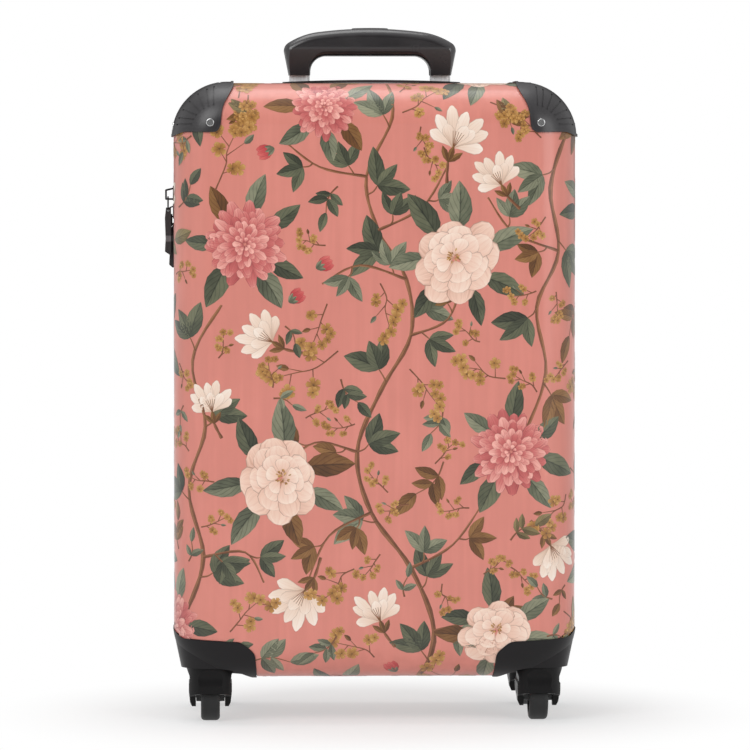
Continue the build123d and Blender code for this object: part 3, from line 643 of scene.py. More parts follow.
def camellia(art, x, z, size, rng):
    """A wide open bloom of broad ruffled petals in four rings, seen a little from one side."""
    lean = math.radians(rng.uniform(0, 180))
    tilt = Vector((math.cos(lean), math.sin(lean)))

    def pose(p):
        offset = Vector((p[0] - x, p[1] - z))
        offset -= tilt * offset.dot(tilt) * 0.14
        return x + offset.x, z + offset.y

    heart = (x + tilt.x * size * 0.12, z + tilt.y * size * 0.12)
    near = 0.08 * size
    first = rng.uniform(0, 60)
    for ring, (count, reach, wide, shade) in enumerate(CAMELLIA_RINGS):
        inward = ring / 3
        centre = (heart[0] * inward + x * (1 - inward), heart[1] * inward + z * (1 - inward))
        order = list(range(count))
        rng.shuffle(order)
        for k in order:
            heading = first + ring * 27 + k * 360 / count + rng.uniform(-9, 9)
            length = size * reach * rng.uniform(0.88, 1.04) - near
            art.blade(
                ahead(centre, heading, near), heading, length, size * wide * rng.uniform(0.85, 1.1),
                "petal_cream", shade + rng.uniform(-0.08, 0.08), full=0.66, blunt=0.62,
                bend=rng.uniform(-24, 24), ruffle=0.05, rows=9, columns=7, pose=pose,
            )
    for _ in range(26):
        heading = math.degrees(rng.uniform(0, 360))
        far = rng.uniform(0.02, 0.13) * size
        art.blade(
            ahead(heart, heading, far), heading, size * 0.07, size * 0.035, "petal_ochre",
            rng.uniform(-0.3, 0.35), full=0.6, blunt=0.7, rows=4, columns=3,
        )


def dahlia(art, x, z, size, rng):
    """A round double bloom of many narrow petals, darker in its depth."""
    near = 0.03 * size
    for ring, (count, reach, wide, shade) in enumerate(DAHLIA_RINGS):
        for k in range(count):
            heading = ring * 13 + k * 360 / count + rng.uniform(-6, 6)
            length = size * reach * rng.uniform(0.86, 1.06) - near
            art.blade(
                ahead((x, z), heading, near), heading, length, size * wide * rng.uniform(0.9, 1.15),
                "petal_coral", shade + rng.uniform(-0.14, 0.14), full=0.74, blunt=0.7,
                bend=rng.uniform(-16, 16), ruffle=0.02, rows=7, columns=5,
            )


def star_lily(art, x, z, heading, size, rng):
    """A slender white blossom seen from the side: petals fan from a brown cup on a stalk."""
    back = ahead((x, z), heading, -size * 0.35)
    foot = ahead(back, heading + math.degrees(0.3), -size * 0.5)
    art.stem([foot, back, (x, z)], 2.6, 2.0)
    for aside, reach in LILY_PETALS:
        art.blade(
            (x, z), heading + aside + rng.uniform(-5, 5), size * reach, size * 0.3, "petal_white",
            rng.uniform(-0.12, 0.12), full=0.7, blunt=0.75, bend=aside * 0.25, ruffle=0.03,
        )
    for k in range(5):
        tip = ahead((x, z), heading + math.degrees((k - 2) * 0.17), size * 0.42)
        art.stem([(x, z), tip], 0.7, 0.4)
    for aside in (-38, 0, 38):
        art.blade(
            back, heading + aside, size * 0.42, size * 0.16, "leaf_brown",
            rng.uniform(-0.1, 0.1), full=0.5, rows=6, columns=3,
        )


def floret(art, x, z, size, rng):
    """A small five-petalled flower with a dark eye."""
    first = rng.uniform(0, 72)
    tone = rng.uniform(-0.12, 0.12)
    for k in range(5):
        art.blade(
            (x, z), first + k * 72, size, size * 0.85, "petal_ochre",
            tone + rng.uniform(-0.08, 0.08), full=0.62, blunt=0.7, rows=4, columns=3,
        )
    art.blade(
        (x - size * 0.16, z), 0, size * 0.36, size * 0.3, "leaf_brown", -0.1,
        full=0.5, blunt=0.7, rows=3, columns=3,
    )


def leaf(art, x, z, heading, length, ink, rng):
    """One pointed leaf on a short stalk."""
    rows, columns = (6, 3) if length < 16 else (8, 5)
    art.blade(
        (x, z), heading, length, length * rng.uniform(0.42, 0.54), ink, rng.uniform(-0.14, 0.14),
        full=0.42, blunt=0.9, bend=rng.uniform(-26, 26), rows=rows, columns=columns,
    )


def sprig(art, x, z, heading, length, ink, rng, pairs, leaf_share):
    """A curved twig with leaves in pairs and one at its tip."""
    bow = rng.choice((-1, 1)) * 0.14 * length
    places = [
        ahead(ahead((x, z), heading, length * t), heading + 90, bow * math.sin(math.pi * t))
        for t in (0, 0.33, 0.66, 1.0)
    ]
    line = art.stem(places, 1.6, 0.8)
    size = length * leaf_share
    for k in range(pairs):
        at = line[int((0.35 + 0.5 * k / pairs) * (len(line) - 1))]
        for side in (-1, 1):
            aside = side * rng.uniform(42, 66)
            leaf(art, *at, heading + aside, size * rng.uniform(0.75, 1.05), ink, rng)
    leaf(art, *line[-1], heading + rng.uniform(-14, 14), size * 1.05, ink, rng)


def spray(art, x, z, heading, length, rng):
    """A thin branching twig with small flowers, buds and tiny leaves."""
    places = []
    for t in (0, 0.3, 0.6, 1.0):
        x1, z1 = ahead((x, z), heading, length * t)
        places.append((
            x1 + rng.uniform(-1, 1) * length * 0.07, z1 + rng.uniform(-1, 1) * length * 0.07
        ))
    line = art.stem(places, 1.3, 0.6)
    for k in range(5):
        at = line[int((0.25 + 0.17 * k) * (len(line) - 1))]
        side = 1 if k % 2 else -1
        out = heading + side * rng.uniform(30, 70)
        tip = ahead(at, out, length * rng.uniform(0.18, 0.34))
        art.stem([at, tip], 0.9, 0.5)
        if k % 3 == 2:
            leaf(art, *tip, out, length * 0.2, rng.choice(("leaf_sage", "leaf_brown")), rng)
        else:
            size = min(7.0, length * rng.uniform(0.12, 0.16))
            floret(art, *tip, size, rng)
            near = (tip[0] + size * rng.uniform(-1, 1), tip[1] + size * rng.uniform(-1, 1))
            floret(art, *near, size * 0.8, rng)
    floret(art, *line[-1], min(7.0, length * 0.14), rng)


def bud(art, x, z, heading, size, rng):
    """A closed bud with green sepals."""
    for aside in (-16, 16, 0):
        art.blade(
            (x, z), heading + aside, size, size * 0.5, "petal_red", rng.uniform(-0.1, 0.15),
            full=0.55, blunt=0.8, rows=7, columns=5,
        )
    for aside in (-30, 0, 30):
        art.blade(
            (x, z), heading + aside, size * 0.55, size * 0.24, "leaf_sage",
            rng.uniform(-0.1, 0.1), full=0.45, rows=5, columns=3,
        )


def foliage(art, line, rng, size, every, taken):
    """Leaves in threes along a branch, on one side and then the other."""
    side = rng.choice((-1, 1))
    for i in range(every // 2, len(line) - 1, every):
        (x, z), (x1, z1) = line[i], line[i + 1]
        along = math.degrees(math.atan2(z1 - z, x1 - x))
        ink = rng.choice(("leaf_sage", "leaf_deep", "leaf_brown", "leaf_deep"))
        heading = along + side * rng.uniform(38, 60)
        tip = ahead((x, z), heading, size * 0.35)
        art.stem([(x, z), ((x + tip[0]) / 2 + 1, (z + tip[1]) / 2 - 1), tip], 1.5, 1.0)
        for aside in (-46, 44, 0):
            out = heading + aside + rng.uniform(-10, 10)
            leaf(art, *tip, out, size * rng.uniform(0.72, 1.0), ink, rng)
        taken.append((*ahead(tip, heading, size * 0.5), size * 0.62))
        side = -side


def cluster(art, x, z, size, rng):
    """A head of many small flowers over a few leaves."""
    for _ in range(4):
        heading = rng.uniform(0, 360)
        leaf(art, x, z, heading, size * 1.5, rng.choice(("leaf_brown", "leaf_olive")), rng)
    for _ in range(16):
        turn = rng.uniform(0, 2 * math.pi)
        far = size * 0.75 * math.sqrt(rng.random())
        spot = (x + far * math.cos(turn), z + far * math.sin(turn))
        floret(art, *spot, size * rng.uniform(0.26, 0.36), rng)


# Motifs of the front, listed in mm from the middle of its face
FRONT_STEMS = [
    [(38, -262), (50, -214), (30, -160), (-4, -112), (-16, -60), (4, -8), (30, 40), (26, 88),
     (2, 130), (-8, 176), (14, 226), (10, 268)],
    [(-200, -250), (-166, -200), (-148, -150), (-162, -92), (-146, -38), (-158, 18), (-132, 66)],
    [(204, 252), (168, 214), (150, 166), (158, 112), (138, 64), (146, 8), (128, -44)],
]
FRONT_TWIGS = [
    [(30, -160), (66, -140), (92, -104)],
    [(-16, -60), (-52, -52), (-82, -74)],
    [(30, 40), (62, 54), (74, 90)],
    [(26, 88), (-14, 100), (-46, 84)],
    [(-8, 176), (-48, 184), (-78, 206)],
    [(2, 130), (40, 150), (62, 186)],
    [(-4, -112), (-40, -132), (-58, -170)],
    [(50, -214), (94, -206), (118, -226)],
    [(158, 112), (118, 128), (96, 158)],
    [(-148, -150), (-112, -146), (-96, -172)],
]
# Kind, x, z and size
FRONT_BLOOMS = [
    (camellia, 70, 104, 41), (dahlia, -112, 118, 37), (camellia, -84, -84, 40),
    (dahlia, 116, -60, 36), (camellia, 104, -216, 33), (dahlia, -44, 236, 30),
    (dahlia, -186, -210, 34), (camellia, 214, 150, 36), (camellia, -222, 40, 36),
    (dahlia, 222, -150, 34), (dahlia, -30, -292, 30), (camellia, 90, 290, 34),
]
# x, z, heading and size
FRONT_LILIES = [
    (66, 200, 70, 36), (-60, -178, 235, 36), (108, 168, 118, 30), (-88, 34, 150, 32),
    (4, -206, 110, 30), (150, -140, 300, 32), (-140, -26, 100, 28), (-204, 150, 90, 32),
]
BLOOM_LEAVES = ["leaf_sage", "leaf_deep", "leaf_brown", "leaf_sage", "leaf_deep"]
# Half the unrolled face, as far out as a filling motif may stand
SPREAD_X = 246
SPREAD_Z = 329


def paint(name, rear, seed):
    """Draws one half's print: stems, listed blooms, then smaller sprays in the gaps."""
    rng = random.Random(seed)
    art = Print(name, rear)
    flip = -1 if rear else 1
    taken = []
    for branches, thick, thin, room, size, every in (
        (FRONT_STEMS, 4.4, 2.4, 3, 34, 7), (FRONT_TWIGS, 2.4, 1.4, 2, 26, 5),
    ):
        for places in branches:
            line = art.stem([(x * flip, z) for x, z in places], thick, thin)
            taken += [(x, z, room) for x, z in line[::2]]
            foliage(art, line, rng, size, every, taken)
    for make, x, z, size in FRONT_BLOOMS:
        x *= flip
        first = rng.uniform(0, 360)
        for k in range(7):
            heading = first + k * 51 + rng.uniform(-12, 12)
            root = ahead((x, z), heading, size * 0.66)
            aside = rng.uniform(-22, 22)
            length = size * rng.uniform(0.8, 1.1)
            leaf(art, *root, heading + aside, length, rng.choice(BLOOM_LEAVES), rng)
        make(art, x, z, size, rng)
        taken.append((x, z, size * 1.3))
    for x, z, heading, size in FRONT_LILIES:
        x *= flip
        heading = heading if flip > 0 else 180 - heading
        star_lily(art, x, z, heading, size, rng)
        taken.append((*ahead((x, z), heading, size * 0.5), size * 0.6))
    for reach, tries in ((25, 2500), (17, 4000), (10, 5000)):
        for _ in range(tries):
            x = rng.uniform(-SPREAD_X, SPREAD_X)
            z = rng.uniform(-SPREAD_Z, SPREAD_Z)
            if all(math.hypot(x - a, z - b) >= reach + c for a, b, c in taken):
                taken.append((x, z, reach * 0.8))
                fill(art, x, z, reach, rng)
    return art


def fill(art, x, z, reach, rng):
    """One filling motif of a random kind, with its middle at a place."""
    heading = rng.uniform(0, 360)
    root = ahead((x, z), heading, -reach)
    kind = rng.random()
    if reach > 12:
        if kind < 0.34:
            ink = rng.choice([*BLOOM_LEAVES, "leaf_olive"])
            sprig(art, *root, heading, reach * 1.45, ink, rng, 2, 0.68)
        elif kind < 0.74:
            spray(art, *root, heading, reach * 2.3, rng)
        else:
            spray(art, *root, heading, reach * 2.0, rng)
            cluster(art, x, z, reach * 0.72, rng)
    elif kind < 0.3:
        sprig(art, *root, heading, reach * 1.7, rng.choice(BLOOM_LEAVES), rng, 1, 0.75)
    elif kind < 0.4:
        bud(art, *root, heading, reach * 1.6, rng)
    else:
        spray(art, *root, heading, reach * 2.4, rng)


# Cloth, webbing and the zip's coils


def ring_path(step):
    """Even places along the zip, as lengths and rows of x, z and the way out of the shell."""
    knots = [(HALF_X, ZIP_END, 1.0, 0.0)]
    for k, (side, end) in enumerate(CORNER_ORDER):
        for i in range(31):
            turn = math.radians(90 * (k + i / 30))
            out = (math.cos(turn), math.sin(turn))
            knots.append((side * CORE_X + CORNER_R * out[0], end * CORE_Z + CORNER_R * out[1], *out))
    knots.append((HALF_X, -ZIP_END, 1.0, 0.0))
    knots = np.array(knots)
    run = np.concatenate([[0], np.cumsum(np.hypot(*np.diff(knots[:, :2], axis=0).T))])
    places = np.linspace(0, run[-1], round(run[-1] / step) + 1)
    return places, np.column_stack([np.interp(places, run, knots[:, c]) for c in range(4)])


# A tape's outline in mm, as depth under the shell and distance from the zip's middle
TAPE_PROFILE = [
    (2.3, 2.35), (2.2, 2.9), (2.3, 3.4), (2.3, 9.0), (2.3, 15.9), (3.0, 15.9), (3.0, 9.0),
    (3.0, 2.35),
]


def zip_tape(name, side, material):
    """The woven tape of one side, with a cord along the edge that the coil is sewn to."""
    places, path = ring_path(4.0)
    points = [
        (x - nx * sunk, side * y, MID_Z + z - nz * sunk)
        for x, z, nx, nz in path for sunk, y in TAPE_PROFILE
    ]
    uvs = [(y * MM, s * MM) for s in places for _, y in TAPE_PROFILE]
    return make_tube(name, points, len(TAPE_PROFILE), material, uvs)


def zip_coil(name, side, pitch_mm, material):
    """The nylon filament wound into teeth along one tape's edge."""
    steps, sides, thick = 8, 5, 0.40
    _, path = ring_path(pitch_mm / steps)
    phase = 2 * np.pi * np.arange(len(path)) / steps
    depth = 2.15 - 0.55 * np.cos(phase)
    across = 1.325 + 0.57 * np.sin(phase)
    x, z, nx, nz = path.T
    middle = np.column_stack([x - nx * depth, side * across, MID_Z + z - nz * depth])
    way = np.gradient(middle, axis=0)
    way /= np.linalg.norm(way, axis=1)[:, None]
    outward = np.column_stack([nx * np.cos(phase), side * np.sin(phase), nz * np.cos(phase)])
    aside = np.cross(way, outward)
    aside /= np.linalg.norm(aside, axis=1)[:, None]
    outward = np.cross(aside, way)
    rings = [
        middle + thick * (math.cos(a) * outward + math.sin(a) * aside)
        for a in (2 * math.pi * k / sides for k in range(sides))
    ]
    points = np.stack(rings, axis=1).reshape(-1, 3).tolist()
    return make_tube(name, points, sides, material, capped=False)


def hinge_cloth(material):
    """The cloth strip that is the case's hinge, from inside one shell to inside the other."""
    middle_x, sewn, half_thick = 170.3, 16, 0.3
    points = []
    for z in np.linspace(93.2, 497.0, 82):
        row = []
        for y in np.linspace(-sewn, sewn, 17):
            hang = 0.35 * math.cos(y / sewn * math.pi / 2)
            row.append((middle_x + hang * noise.noise(Vector((z / 21, y / 30, 3))), y, z))
        points += [(x + half_thick, y, z) for x, y, z in row]
        points += [(x - half_thick, y, z) for x, y, z in reversed(row)]
    return make_tube("hinge_cloth", points, 2 * len(row), material)


def lining_columns():
    """Places round the lining's floor, each with the way that its wall goes out."""
    columns = []
    for k, (side, end) in enumerate(CORNER_ORDER):
        columns += [
            (side * CORE_X, end * CORE_Z, math.cos(t), math.sin(t))
            for t in (math.radians(90 * (k + i / 12)) for i in range(13))
        ]
        long = 2 * (CORE_X if k % 2 == 0 else CORE_Z)
        count = round(long / 6)
        dx, dz = ((-side, 0), (0, -end))[k % 2]
        for i in range(1, count):
            far = long * i / count
            columns.append((
                side * CORE_X + dx * far, end * CORE_Z + dz * far, abs(dz) * side, abs(dx) * end
            ))
    return columns


def lining_cloth(name, rear, depth, edge_r, material):
    """The cloth of one half: a panel and walls in one, drawn over what stands in its way."""
    corner = CORNER_R - LINING_SUNK - edge_r
    wall = depth - edge_r - RIM_Y - RIM_GAP
    reach = corner + edge_r * math.pi / 2 + wall
    columns = lining_columns()
    wide = len(columns)
    shares = np.linspace(0.02, 1.0, 26)[:-1]
    runs = np.linspace(0, reach, round(reach / 4.5) + 1)
    places = [[(x * s, z * s, 0.0) for x, z, _, _ in columns] for s in shares]
    places += [[(x + ox * d, z + oz * d, d) for x, z, ox, oz in columns] for d in runs]
    points = []
    for x, z, d in (place for row in places for place in row):
        loose = min(1.0, (reach - d) / 20)
        ease = 0.5 + 0.5 * noise.noise(Vector((x / 52, z / 52, depth)))
        crease = abs(noise.noise(Vector((x / 19, z / 33, 2 * depth))))
        slack = loose * (1.0 * ease + 0.9 * (1 - 2 * crease) ** 2)
        if rear and d < corner:
            slack = -slack
        p, _ = on_shell(x, z, -0.6 - slack, depth, edge_r, LINING_SUNK)
        if rear:
            p = Vector((-p.x, -p.y, p.z))
        points.append(clear_of_sockets(p, rear))
    hem = [Vector((p.x * 1.003, p.y, MID_Z + (p.z - MID_Z) * 1.002)) for p in points[-wide:]]
    centre = len(points) + wide
    middle = sum(points[:wide], Vector()) / wide
    faces = lattice(len(places) + 1, wide, True)
    faces += [(centre, (c + 1) % wide, c) for c in range(wide)]
    piece = make_piece(name, [*points, *hem, middle], faces, material)
    fixed = range(len(points) - wide, centre)
    inside = Vector((0, 0 if rear else -0.03, MID_Z * MM))
    with reworked(piece.data) as soften:
        free = [v for v in soften.verts if v.index not in fixed]
        for _ in range(2):
            bmesh.ops.smooth_vert(
                soften, verts=free, factor=0.5, use_axis_x=True, use_axis_y=True, use_axis_z=True
            )
        for face in soften.faces:
            if face.normal.dot(inside - face.calc_center_median()) < 0:
                face.normal_flip()
    flat = (2 * (CORE_X + reach) * MM, 2 * (CORE_Z + reach) * MM)
    # The cut's area from the case's own sizes, with its corners darted: floor, sides and turns
    sides = 4 * (CORE_X + CORE_Z) * reach
    edges = edge_r * (corner * math.pi / 2 + edge_r) + (corner + edge_r) * wall
    turns = math.pi * corner ** 2 + 2 * math.pi * edges
    return piece, flat, (4 * CORE_X * CORE_Z + sides + turns) * MM ** 2


def clear_of_sockets(p, rear):
    """Moves a point of the lining over the caster sockets and under the carry handle's."""
    socket_r, skirt_r, socket_top, skirt_top, steepness = 36.0, 43.5, 71.0, 59.5, 2.25
    away = math.hypot(abs(p.x) - CASTER_X, abs(p.y) - CASTER_Y)
    low = 0.0
    if away < socket_r:
        low = socket_top
    elif away < skirt_r:
        low = skirt_top - (away - socket_r) * steepness
    under_handle = rear and abs(p.x) < 79.5 and 14 < p.y < 46
    high = 524.6 if under_handle else 1000.0
    return Vector((p.x, p.y, min(max(p.z, low), high)))


# The packing webbing: its arms' directions in degrees, their run from the buckle, the outline
# across an arm as width and depth in the case, and the path of the sewn box with its cross
ARM_TURNS = (53.25, 126.75, 233.25, 306.75)
ARM_START = 17.0
ARM_END = 187.2
ARM_PROFILE = [
    (-12.5, 65.1), (-12.1, 64.7), (0, 64.62), (12.1, 64.7), (12.5, 65.1), (12.1, 65.5), (0, 65.5),
    (-12.1, 65.5),
]
SEWN_BOX = [
    (162, -10), (184, -10), (184, 10), (162, 10), (162, -10), (184, 10), (184, -10), (162, 10),
]
STITCH = 2.6


def sag(run, turn):
    """How far an arm hangs out of its plane at a length along it."""
    share = min(1, (run - ARM_START) / (ARM_END - ARM_START) / 0.86)
    return 0.9 * math.sin(math.pi * share) * (1 + 0.4 * math.sin(run / 19 + turn))


def packing_webbing(material, thread):
    """Four arms of webbing from the buckle to the corners, each sewn down at its end."""
    arms, uvs, faces = [], [], []
    stitches, seams = [], []
    wide = len(ARM_PROFILE)
    for turn in ARM_TURNS:
        way = Vector((math.cos(math.radians(turn)), 0, math.sin(math.radians(turn))))
        side = Vector((-way.z, 0, way.x))
        start = len(arms)
        runs = np.linspace(ARM_START, ARM_END, 35).tolist()
        for run in runs:
            for across, y in ARM_PROFILE:
                spot = way * run + side * across
                arms.append((spot.x, y - sag(run, turn), MID_Z + spot.z))
                uvs.append((across * MM, run * MM))
        faces += [tuple(start + i for i in face) for face in lattice(len(runs), wide, True)]
        faces += [list(range(start, start + wide)), list(range(len(arms) - wide, len(arms)))]
        knots = [way * run + side * across for run, across in SEWN_BOX]
        for here, there in zip(knots, knots[1:]):
            leg = there - here
            aside = leg.normalized().cross(Vector((0, 1, 0))) * 0.3
            count = round(leg.length / STITCH)
            for k in range(count):
                base = len(stitches)
                for end in (here + leg * ((k + share) / count) for share in (0.15, 0.85)):
                    lift = sag(end.dot(way), turn)
                    for offset, y in ((-aside, 64.65), (Vector(), 64.3), (aside, 64.65)):
                        spot = end + offset
                        stitches.append((spot.x, y - lift, MID_Z + spot.z))
                seams += [(i, i + 1, i + 4, i + 3) for i in (base, base + 1)]
    webbing = make_piece("packing_webbing", arms, faces, material, uvs)
    turn_outward(webbing)
    return webbing, make_piece("packing_stitches", stitches, seams, thread)


# Settings that a user would change


class SuitcasePrint(bpy.types.PropertyGroup):
    """Colour and drawing of the printed film."""

    ground: FloatVectorProperty(
        name="Ground", description="Colour between the flowers", subtype="COLOR",
        default=linear("D58477"),
    )
    front_seed: IntProperty(
        name="Front seed", description="Which filling sprays the front gets", default=11
    )
    rear_seed: IntProperty(
        name="Rear seed", description="Which filling sprays the back gets", default=29
    )


class SuitcaseZip(bpy.types.PropertyGroup):
    """The zip's coil."""

    pitch: FloatProperty(
        name="Pitch", description="From one tooth to the next", default=0.0016, unit="LENGTH"
    )


class SuitcaseStage(bpy.types.PropertyGroup):
    """Camera, lamps and floor."""

    distance: FloatProperty(
        name="Camera distance", description="From the camera to the front face", default=4.5,
        unit="LENGTH",
    )
    height: FloatProperty(
        name="Camera height", description="Above the floor", default=0.49, unit="LENGTH"
    )
    sidestep: FloatProperty(
        name="Camera sidestep", description="To the left of the middle", default=0.14, unit="LENGTH"
    )


class Step:
    """What every step shares: it makes its part of the scene and is then finished."""

    def execute(self, context):
        self.make(context.scene)
        return {"FINISHED"}


# Where the camera looks, in metres, and how wide the view is there
TARGET = Vector((0.0004, -0.062, 0.2996))
VIEW_WIDTH = 0.6476
SENSOR_MM = 36.0
# Name, place, size in metres and power in watts
LAMPS = [
    ("key", (-1.7, -2.6, 2.3), 1.6, 44.0),
    ("fill", (1.9, -2.4, 1.2), 1.6, 23.0),
    ("top", (-0.3, 0.1, 2.6), 1.4, 20.0),
]
LAMP_AIM = Vector((0, 0, 0.3))


class SUITCASE_OT_stage(Step, bpy.types.Operator):
    """Sets up the camera, the lamps, the world and the floor"""

    bl_idname = "suitcase.stage"
    bl_label = "Stage"

    def make(self, scene):
        scene.view_settings.view_transform = "Standard"
        self.camera(scene, scene.suitcase_stage)
        for name, place, size, power in LAMPS:
            light = bpy.data.lights.new(name, "AREA")
            light.size = size
            light.energy = power
            self.aim(scene, name, light, Vector(place), LAMP_AIM)
        self.world(scene)
        self.floor()

    def aim(self, scene, name, data, place, target):
        """A lamp or camera at a place, turned to a target."""
        made = bpy.data.objects.new(name, data)
        made.location = place
        made.rotation_euler = (target - made.location).to_track_quat("-Z", "Y").to_euler()
        scene.collection.objects.link(made)
        return made

    def camera(self, scene, settings):
        """The camera, with the lens that the view's width at the target asks for."""
        lens = bpy.data.cameras.new("camera")
        lens.sensor_width = SENSOR_MM
        place = Vector((-settings.sidestep, TARGET.y - settings.distance, settings.height))
        lens.lens = SENSOR_MM * (TARGET - place).length / VIEW_WIDTH
        scene.camera = self.aim(scene, "camera", lens, place, TARGET)

    def world(self, scene):
        """White to the camera, softer as light, and in reflections white at the sides."""
        world = bpy.data.worlds.new("studio")
        scene.world = world
        world.use_nodes = True
        made = Nodes(world.node_tree)
        # Reflections find white walls at the sides and above, and a dim room in front
        look = made.split(made.add("TexCoord", out="Generated"))
        away = made.math("MAXIMUM", made.math("ABSOLUTE", look["X"]), look["Z"])
        walls = made.spread(away, 0.3, 0.85, 0.06, 0.9, interpolation_type="SMOOTHSTEP")
        shone = made.add("Mix", {0: made.rays("Glossy"), 2: 0.38, 3: walls})
        strength = made.add("Mix", {0: made.rays("Camera", "Transmission"), 2: shone, 3: 1.0})
        sky = made.tree.nodes["Background"]
        sky.inputs["Color"].default_value = (1.0, 1.0, 1.0, 1.0)
        made.tree.links.new(strength, sky.inputs["Strength"])

    def floor(self):
        """A pale floor that keeps the shadow near the case and fades to white away from it."""
        bpy.ops.object.select_all(action="DESELECT")
        bpy.ops.mesh.primitive_plane_add(size=30.0, location=(0, 0, 0))
        floor = bpy.context.object
        floor.name = "floor"
        made = Finish("pale_floor", Roughness=0.7, Specular_IOR_Level=0.1)
        made.colour(made.noise(200.0), (0.0, linear("FAFAFA")), (1.0, linear("FFFFFF")))
        away = made.add("VectorMath", {0: made.place}, out="Value", operation="LENGTH")
        fade = made.spread(away, 0.17, 0.36, 0.52, interpolation_type="SMOOTHSTEP")
        share = made.math("MULTIPLY", fade, made.rays("Camera", "Glossy", "Transmission"))
        glow = made.add("Emission", {"Strength": 1.0})
        mix = made.add("MixShader", {0: share, 1: made.shader.outputs[0], 2: glow})
        made.tree.links.new(mix, made.tree.nodes["Material Output"].inputs["Surface"])
        floor.data.materials.append(made.material)


def dress(material, *names):
    """Gives a material to CAD nodes."""
    for name in names:
        NODES[name].material_slots[0].material = material


def corners(part):
    """The names of a part that each of the case's four corners has."""
    return [f"{end}_{side}_{part}" for end in ("front", "rear") for side in ("left", "right")]


class SUITCASE_OT_shells(Step, bpy.types.Operator):
    """Gives the two shells their printed polycarbonate"""

    bl_idname = "suitcase.shells"
    bl_label = "Shells"

    def make(self, scene):
        ground = tuple(scene.suitcase_print.ground)
        dress(printed_polycarbonate(ground), "front_shell", "rear_shell")


class SUITCASE_OT_flowers(Step, bpy.types.Operator):
    """Draws the flowers on both shells"""

    bl_idname = "suitcase.flowers"
    bl_label = "Flowers"

    def make(self, scene):
        settings = scene.suitcase_print
        inks = [make_ink(name, *tones) for name, (make_ink, *tones) in INKS.items()]
        paint("front_print", False, settings.front_seed).build(inks, "front_half")
        paint("rear_print", True, settings.rear_seed).build(inks, "rear_half")


class SUITCASE_OT_mouldings(Step, bpy.types.Operator):
    """Finishes the guards, housings, handles and their metal"""

    bl_idname = "suitcase.mouldings"
    bl_label = "Mouldings"

    def make(self, scene):
        trim = ["handle_bezel", "carry_handle", "left_carry_socket", "right_carry_socket"]
        for material, names in (
            (moulded_plastic("guard_abs", "2D2B2D", 0.36), corners("corner_guard")),
            (moulded_plastic("housing_abs", "131113", 0.42, 0.26), corners("wheel_housing")),
            (moulded_plastic("trim_abs", "2A292B", 0.4), trim),
            (moulded_plastic("bracket_abs", "1E1E1F", 0.5), ["tube_bracket"]),
            (moulded_plastic("grip_abs", "2B292B", 0.25, 0.7), ["grip_body", "grip_cover"]),
            (moulded_plastic("button_abs", "353335", 0.3), ["grip_button"]),
            (moulded_plastic("buckle_nylon", "1C1C1D", 0.4), ["strap_buckle"]),
            (anodised_aluminium("tube_aluminium", "F3F3F4"),
             [f"{side}_{tube}_tube" for tube in ("outer", "inner") for side in ("left", "right")]),
            (bright_metal("screw_chrome", "D8D8D8", 0.16, 900.0),
             ["front_guard_screws", "rear_guard_screws"]),
        ):
            dress(material, *names)


class SUITCASE_OT_casters(Step, bpy.types.Operator):
    """Finishes the swivel forks, wheels, stems and axles"""

    bl_idname = "suitcase.casters"
    bl_label = "Casters"

    def make(self, scene):
        dress(moulded_plastic("fork_nylon", "0B0A0B", 0.4, 0.2), *corners("caster_fork"))
        dress(moulded_plastic("hub_nylon", "232324", 0.42), *corners("wheel_core"))
        dress(tyre_polyurethane(), *corners("wheel_tyre"))
        steel = bright_metal("axle_steel", "B9B9B8", 0.28, 700.0)
        dress(steel, *corners("caster_stem"), *corners("wheel_axle"))


class SUITCASE_OT_zip(Step, bpy.types.Operator):
    """Finishes the zip"""

    bl_idname = "suitcase.zip"
    bl_label = "Zip"

    def make(self, scene):
        pitch_mm = scene.suitcase_zip.pitch / MM
        weave = ribbed_webbing("zip_tape_weave", 1.1, 1.3)
        nylon = moulded_plastic("coil_nylon", "1D1C1E", 0.35)
        for half, side in (("front", -1), ("rear", 1)):
            tape = zip_tape(f"{half}_tape_cloth", side, weave)
            coil = zip_coil(f"{half}_coil_teeth", side, pitch_mm, nylon)
            for made, node, slot in (
                (tape, f"{half}_zip_tape", "zip_tape_cloth"),
                (coil, f"{half}_zip_coil", "zip_coil_plastic"),
            ):
                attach(made, f"{half}_half")
                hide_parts(node)
        strip = hinge_cloth(woven_cloth("hinge_weave", "141415", "2B2A2C", 0.7, ("Y", "Z")))
        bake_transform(strip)
        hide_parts("hinge_gusset")
        dress(
            bright_metal("slider_zinc", "3B3A3C", 0.34, 500.0),
            "upper_zip_slider", "lower_zip_slider", "upper_pull_link", "lower_pull_link",
        )
        dress(pull_tab_rubber(), "upper_pull_tab", "lower_pull_tab")


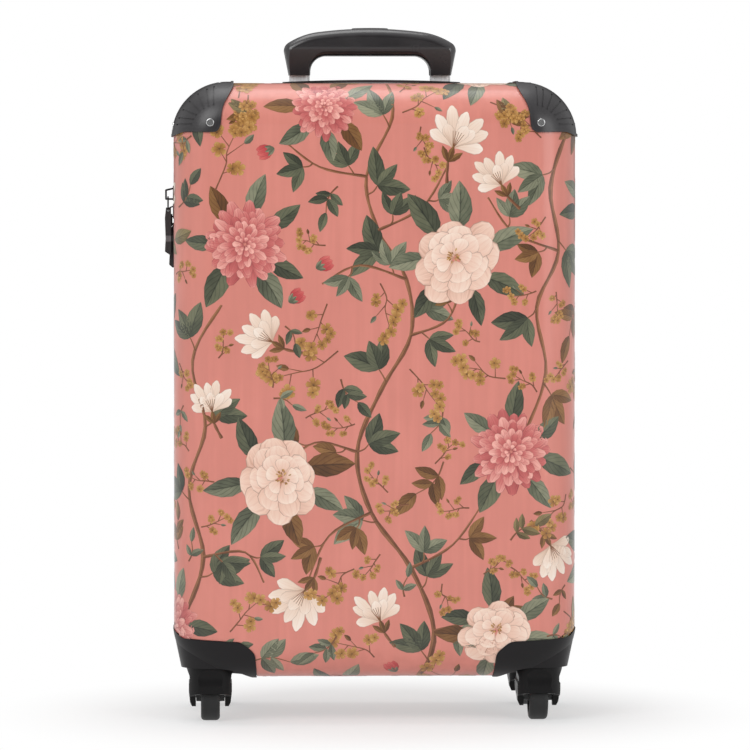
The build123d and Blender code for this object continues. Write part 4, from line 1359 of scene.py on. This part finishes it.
class SUITCASE_OT_inside(Step, bpy.types.Operator):
    """Finishes the lining, straps and buckle"""

    bl_idname = "suitcase.inside"
    bl_label = "Inside"
    # Finishes the lining and the packing straps

    def make(self, scene):
        cloth = woven_cloth("lining_polyester", "3A383A", "5A575A", 0.8, ("X", "Z"), 0.25)
        for half, rear, depth, edge_r in (("front", False, 94.2, 31.7), ("rear", True, 66.4, 6.0)):
            made, flat, area = lining_cloth(f"{half}_lining_cloth", rear, depth, edge_r, cloth)
            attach(made, f"{half}_half")
            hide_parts(f"{half}_lining")
        thread = moulded_plastic("sewing_thread", "3A383B", 0.7)
        webbing, sewing = packing_webbing(ribbed_webbing("strap_web", 2.1, 1.7), thread)
        for made in (webbing, sewing):
            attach(made, "rear_half")
        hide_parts("packing_straps")


STEPS = [
    SUITCASE_OT_stage, SUITCASE_OT_shells, SUITCASE_OT_flowers, SUITCASE_OT_mouldings,
    SUITCASE_OT_casters, SUITCASE_OT_zip, SUITCASE_OT_inside,
]
SETTINGS = {
    "suitcase_print": SuitcasePrint, "suitcase_zip": SuitcaseZip, "suitcase_stage": SuitcaseStage,
}


class SUITCASE_PT_panel(bpy.types.Panel):
    """Lists the suitcase's settings and its steps"""

    bl_idname = "SUITCASE_PT_panel"
    bl_label = "Suitcase"
    bl_space_type = "VIEW_3D"
    bl_region_type = "UI"
    bl_category = "Suitcase"

    def draw(self, context):
        for name, group in SETTINGS.items():
            settings = getattr(context.scene, name)
            for field in group.__annotations__:
                self.layout.prop(settings, field)
        for step in STEPS:
            self.layout.operator(step.bl_idname)


def register():
    for group in SETTINGS.values():
        bpy.utils.register_class(group)
    for name, group in SETTINGS.items():
        setattr(bpy.types.Scene, name, PointerProperty(type=group))
    for step in STEPS:
        bpy.utils.register_class(step)
    bpy.utils.register_class(SUITCASE_PT_panel)


def unregister():
    bpy.utils.unregister_class(SUITCASE_PT_panel)
    for step in reversed(STEPS):
        bpy.utils.unregister_class(step)
    for name, group in SETTINGS.items():
        delattr(bpy.types.Scene, name)
        bpy.utils.unregister_class(group)


def main():
    """Runs every step in order."""
    register()
    bpy.ops.suitcase.stage()
    bpy.ops.suitcase.shells()
    bpy.ops.suitcase.flowers()
    bpy.ops.suitcase.mouldings()
    bpy.ops.suitcase.casters()
    bpy.ops.suitcase.zip()
    bpy.ops.suitcase.inside()


if __name__ == "__main__":
    main()
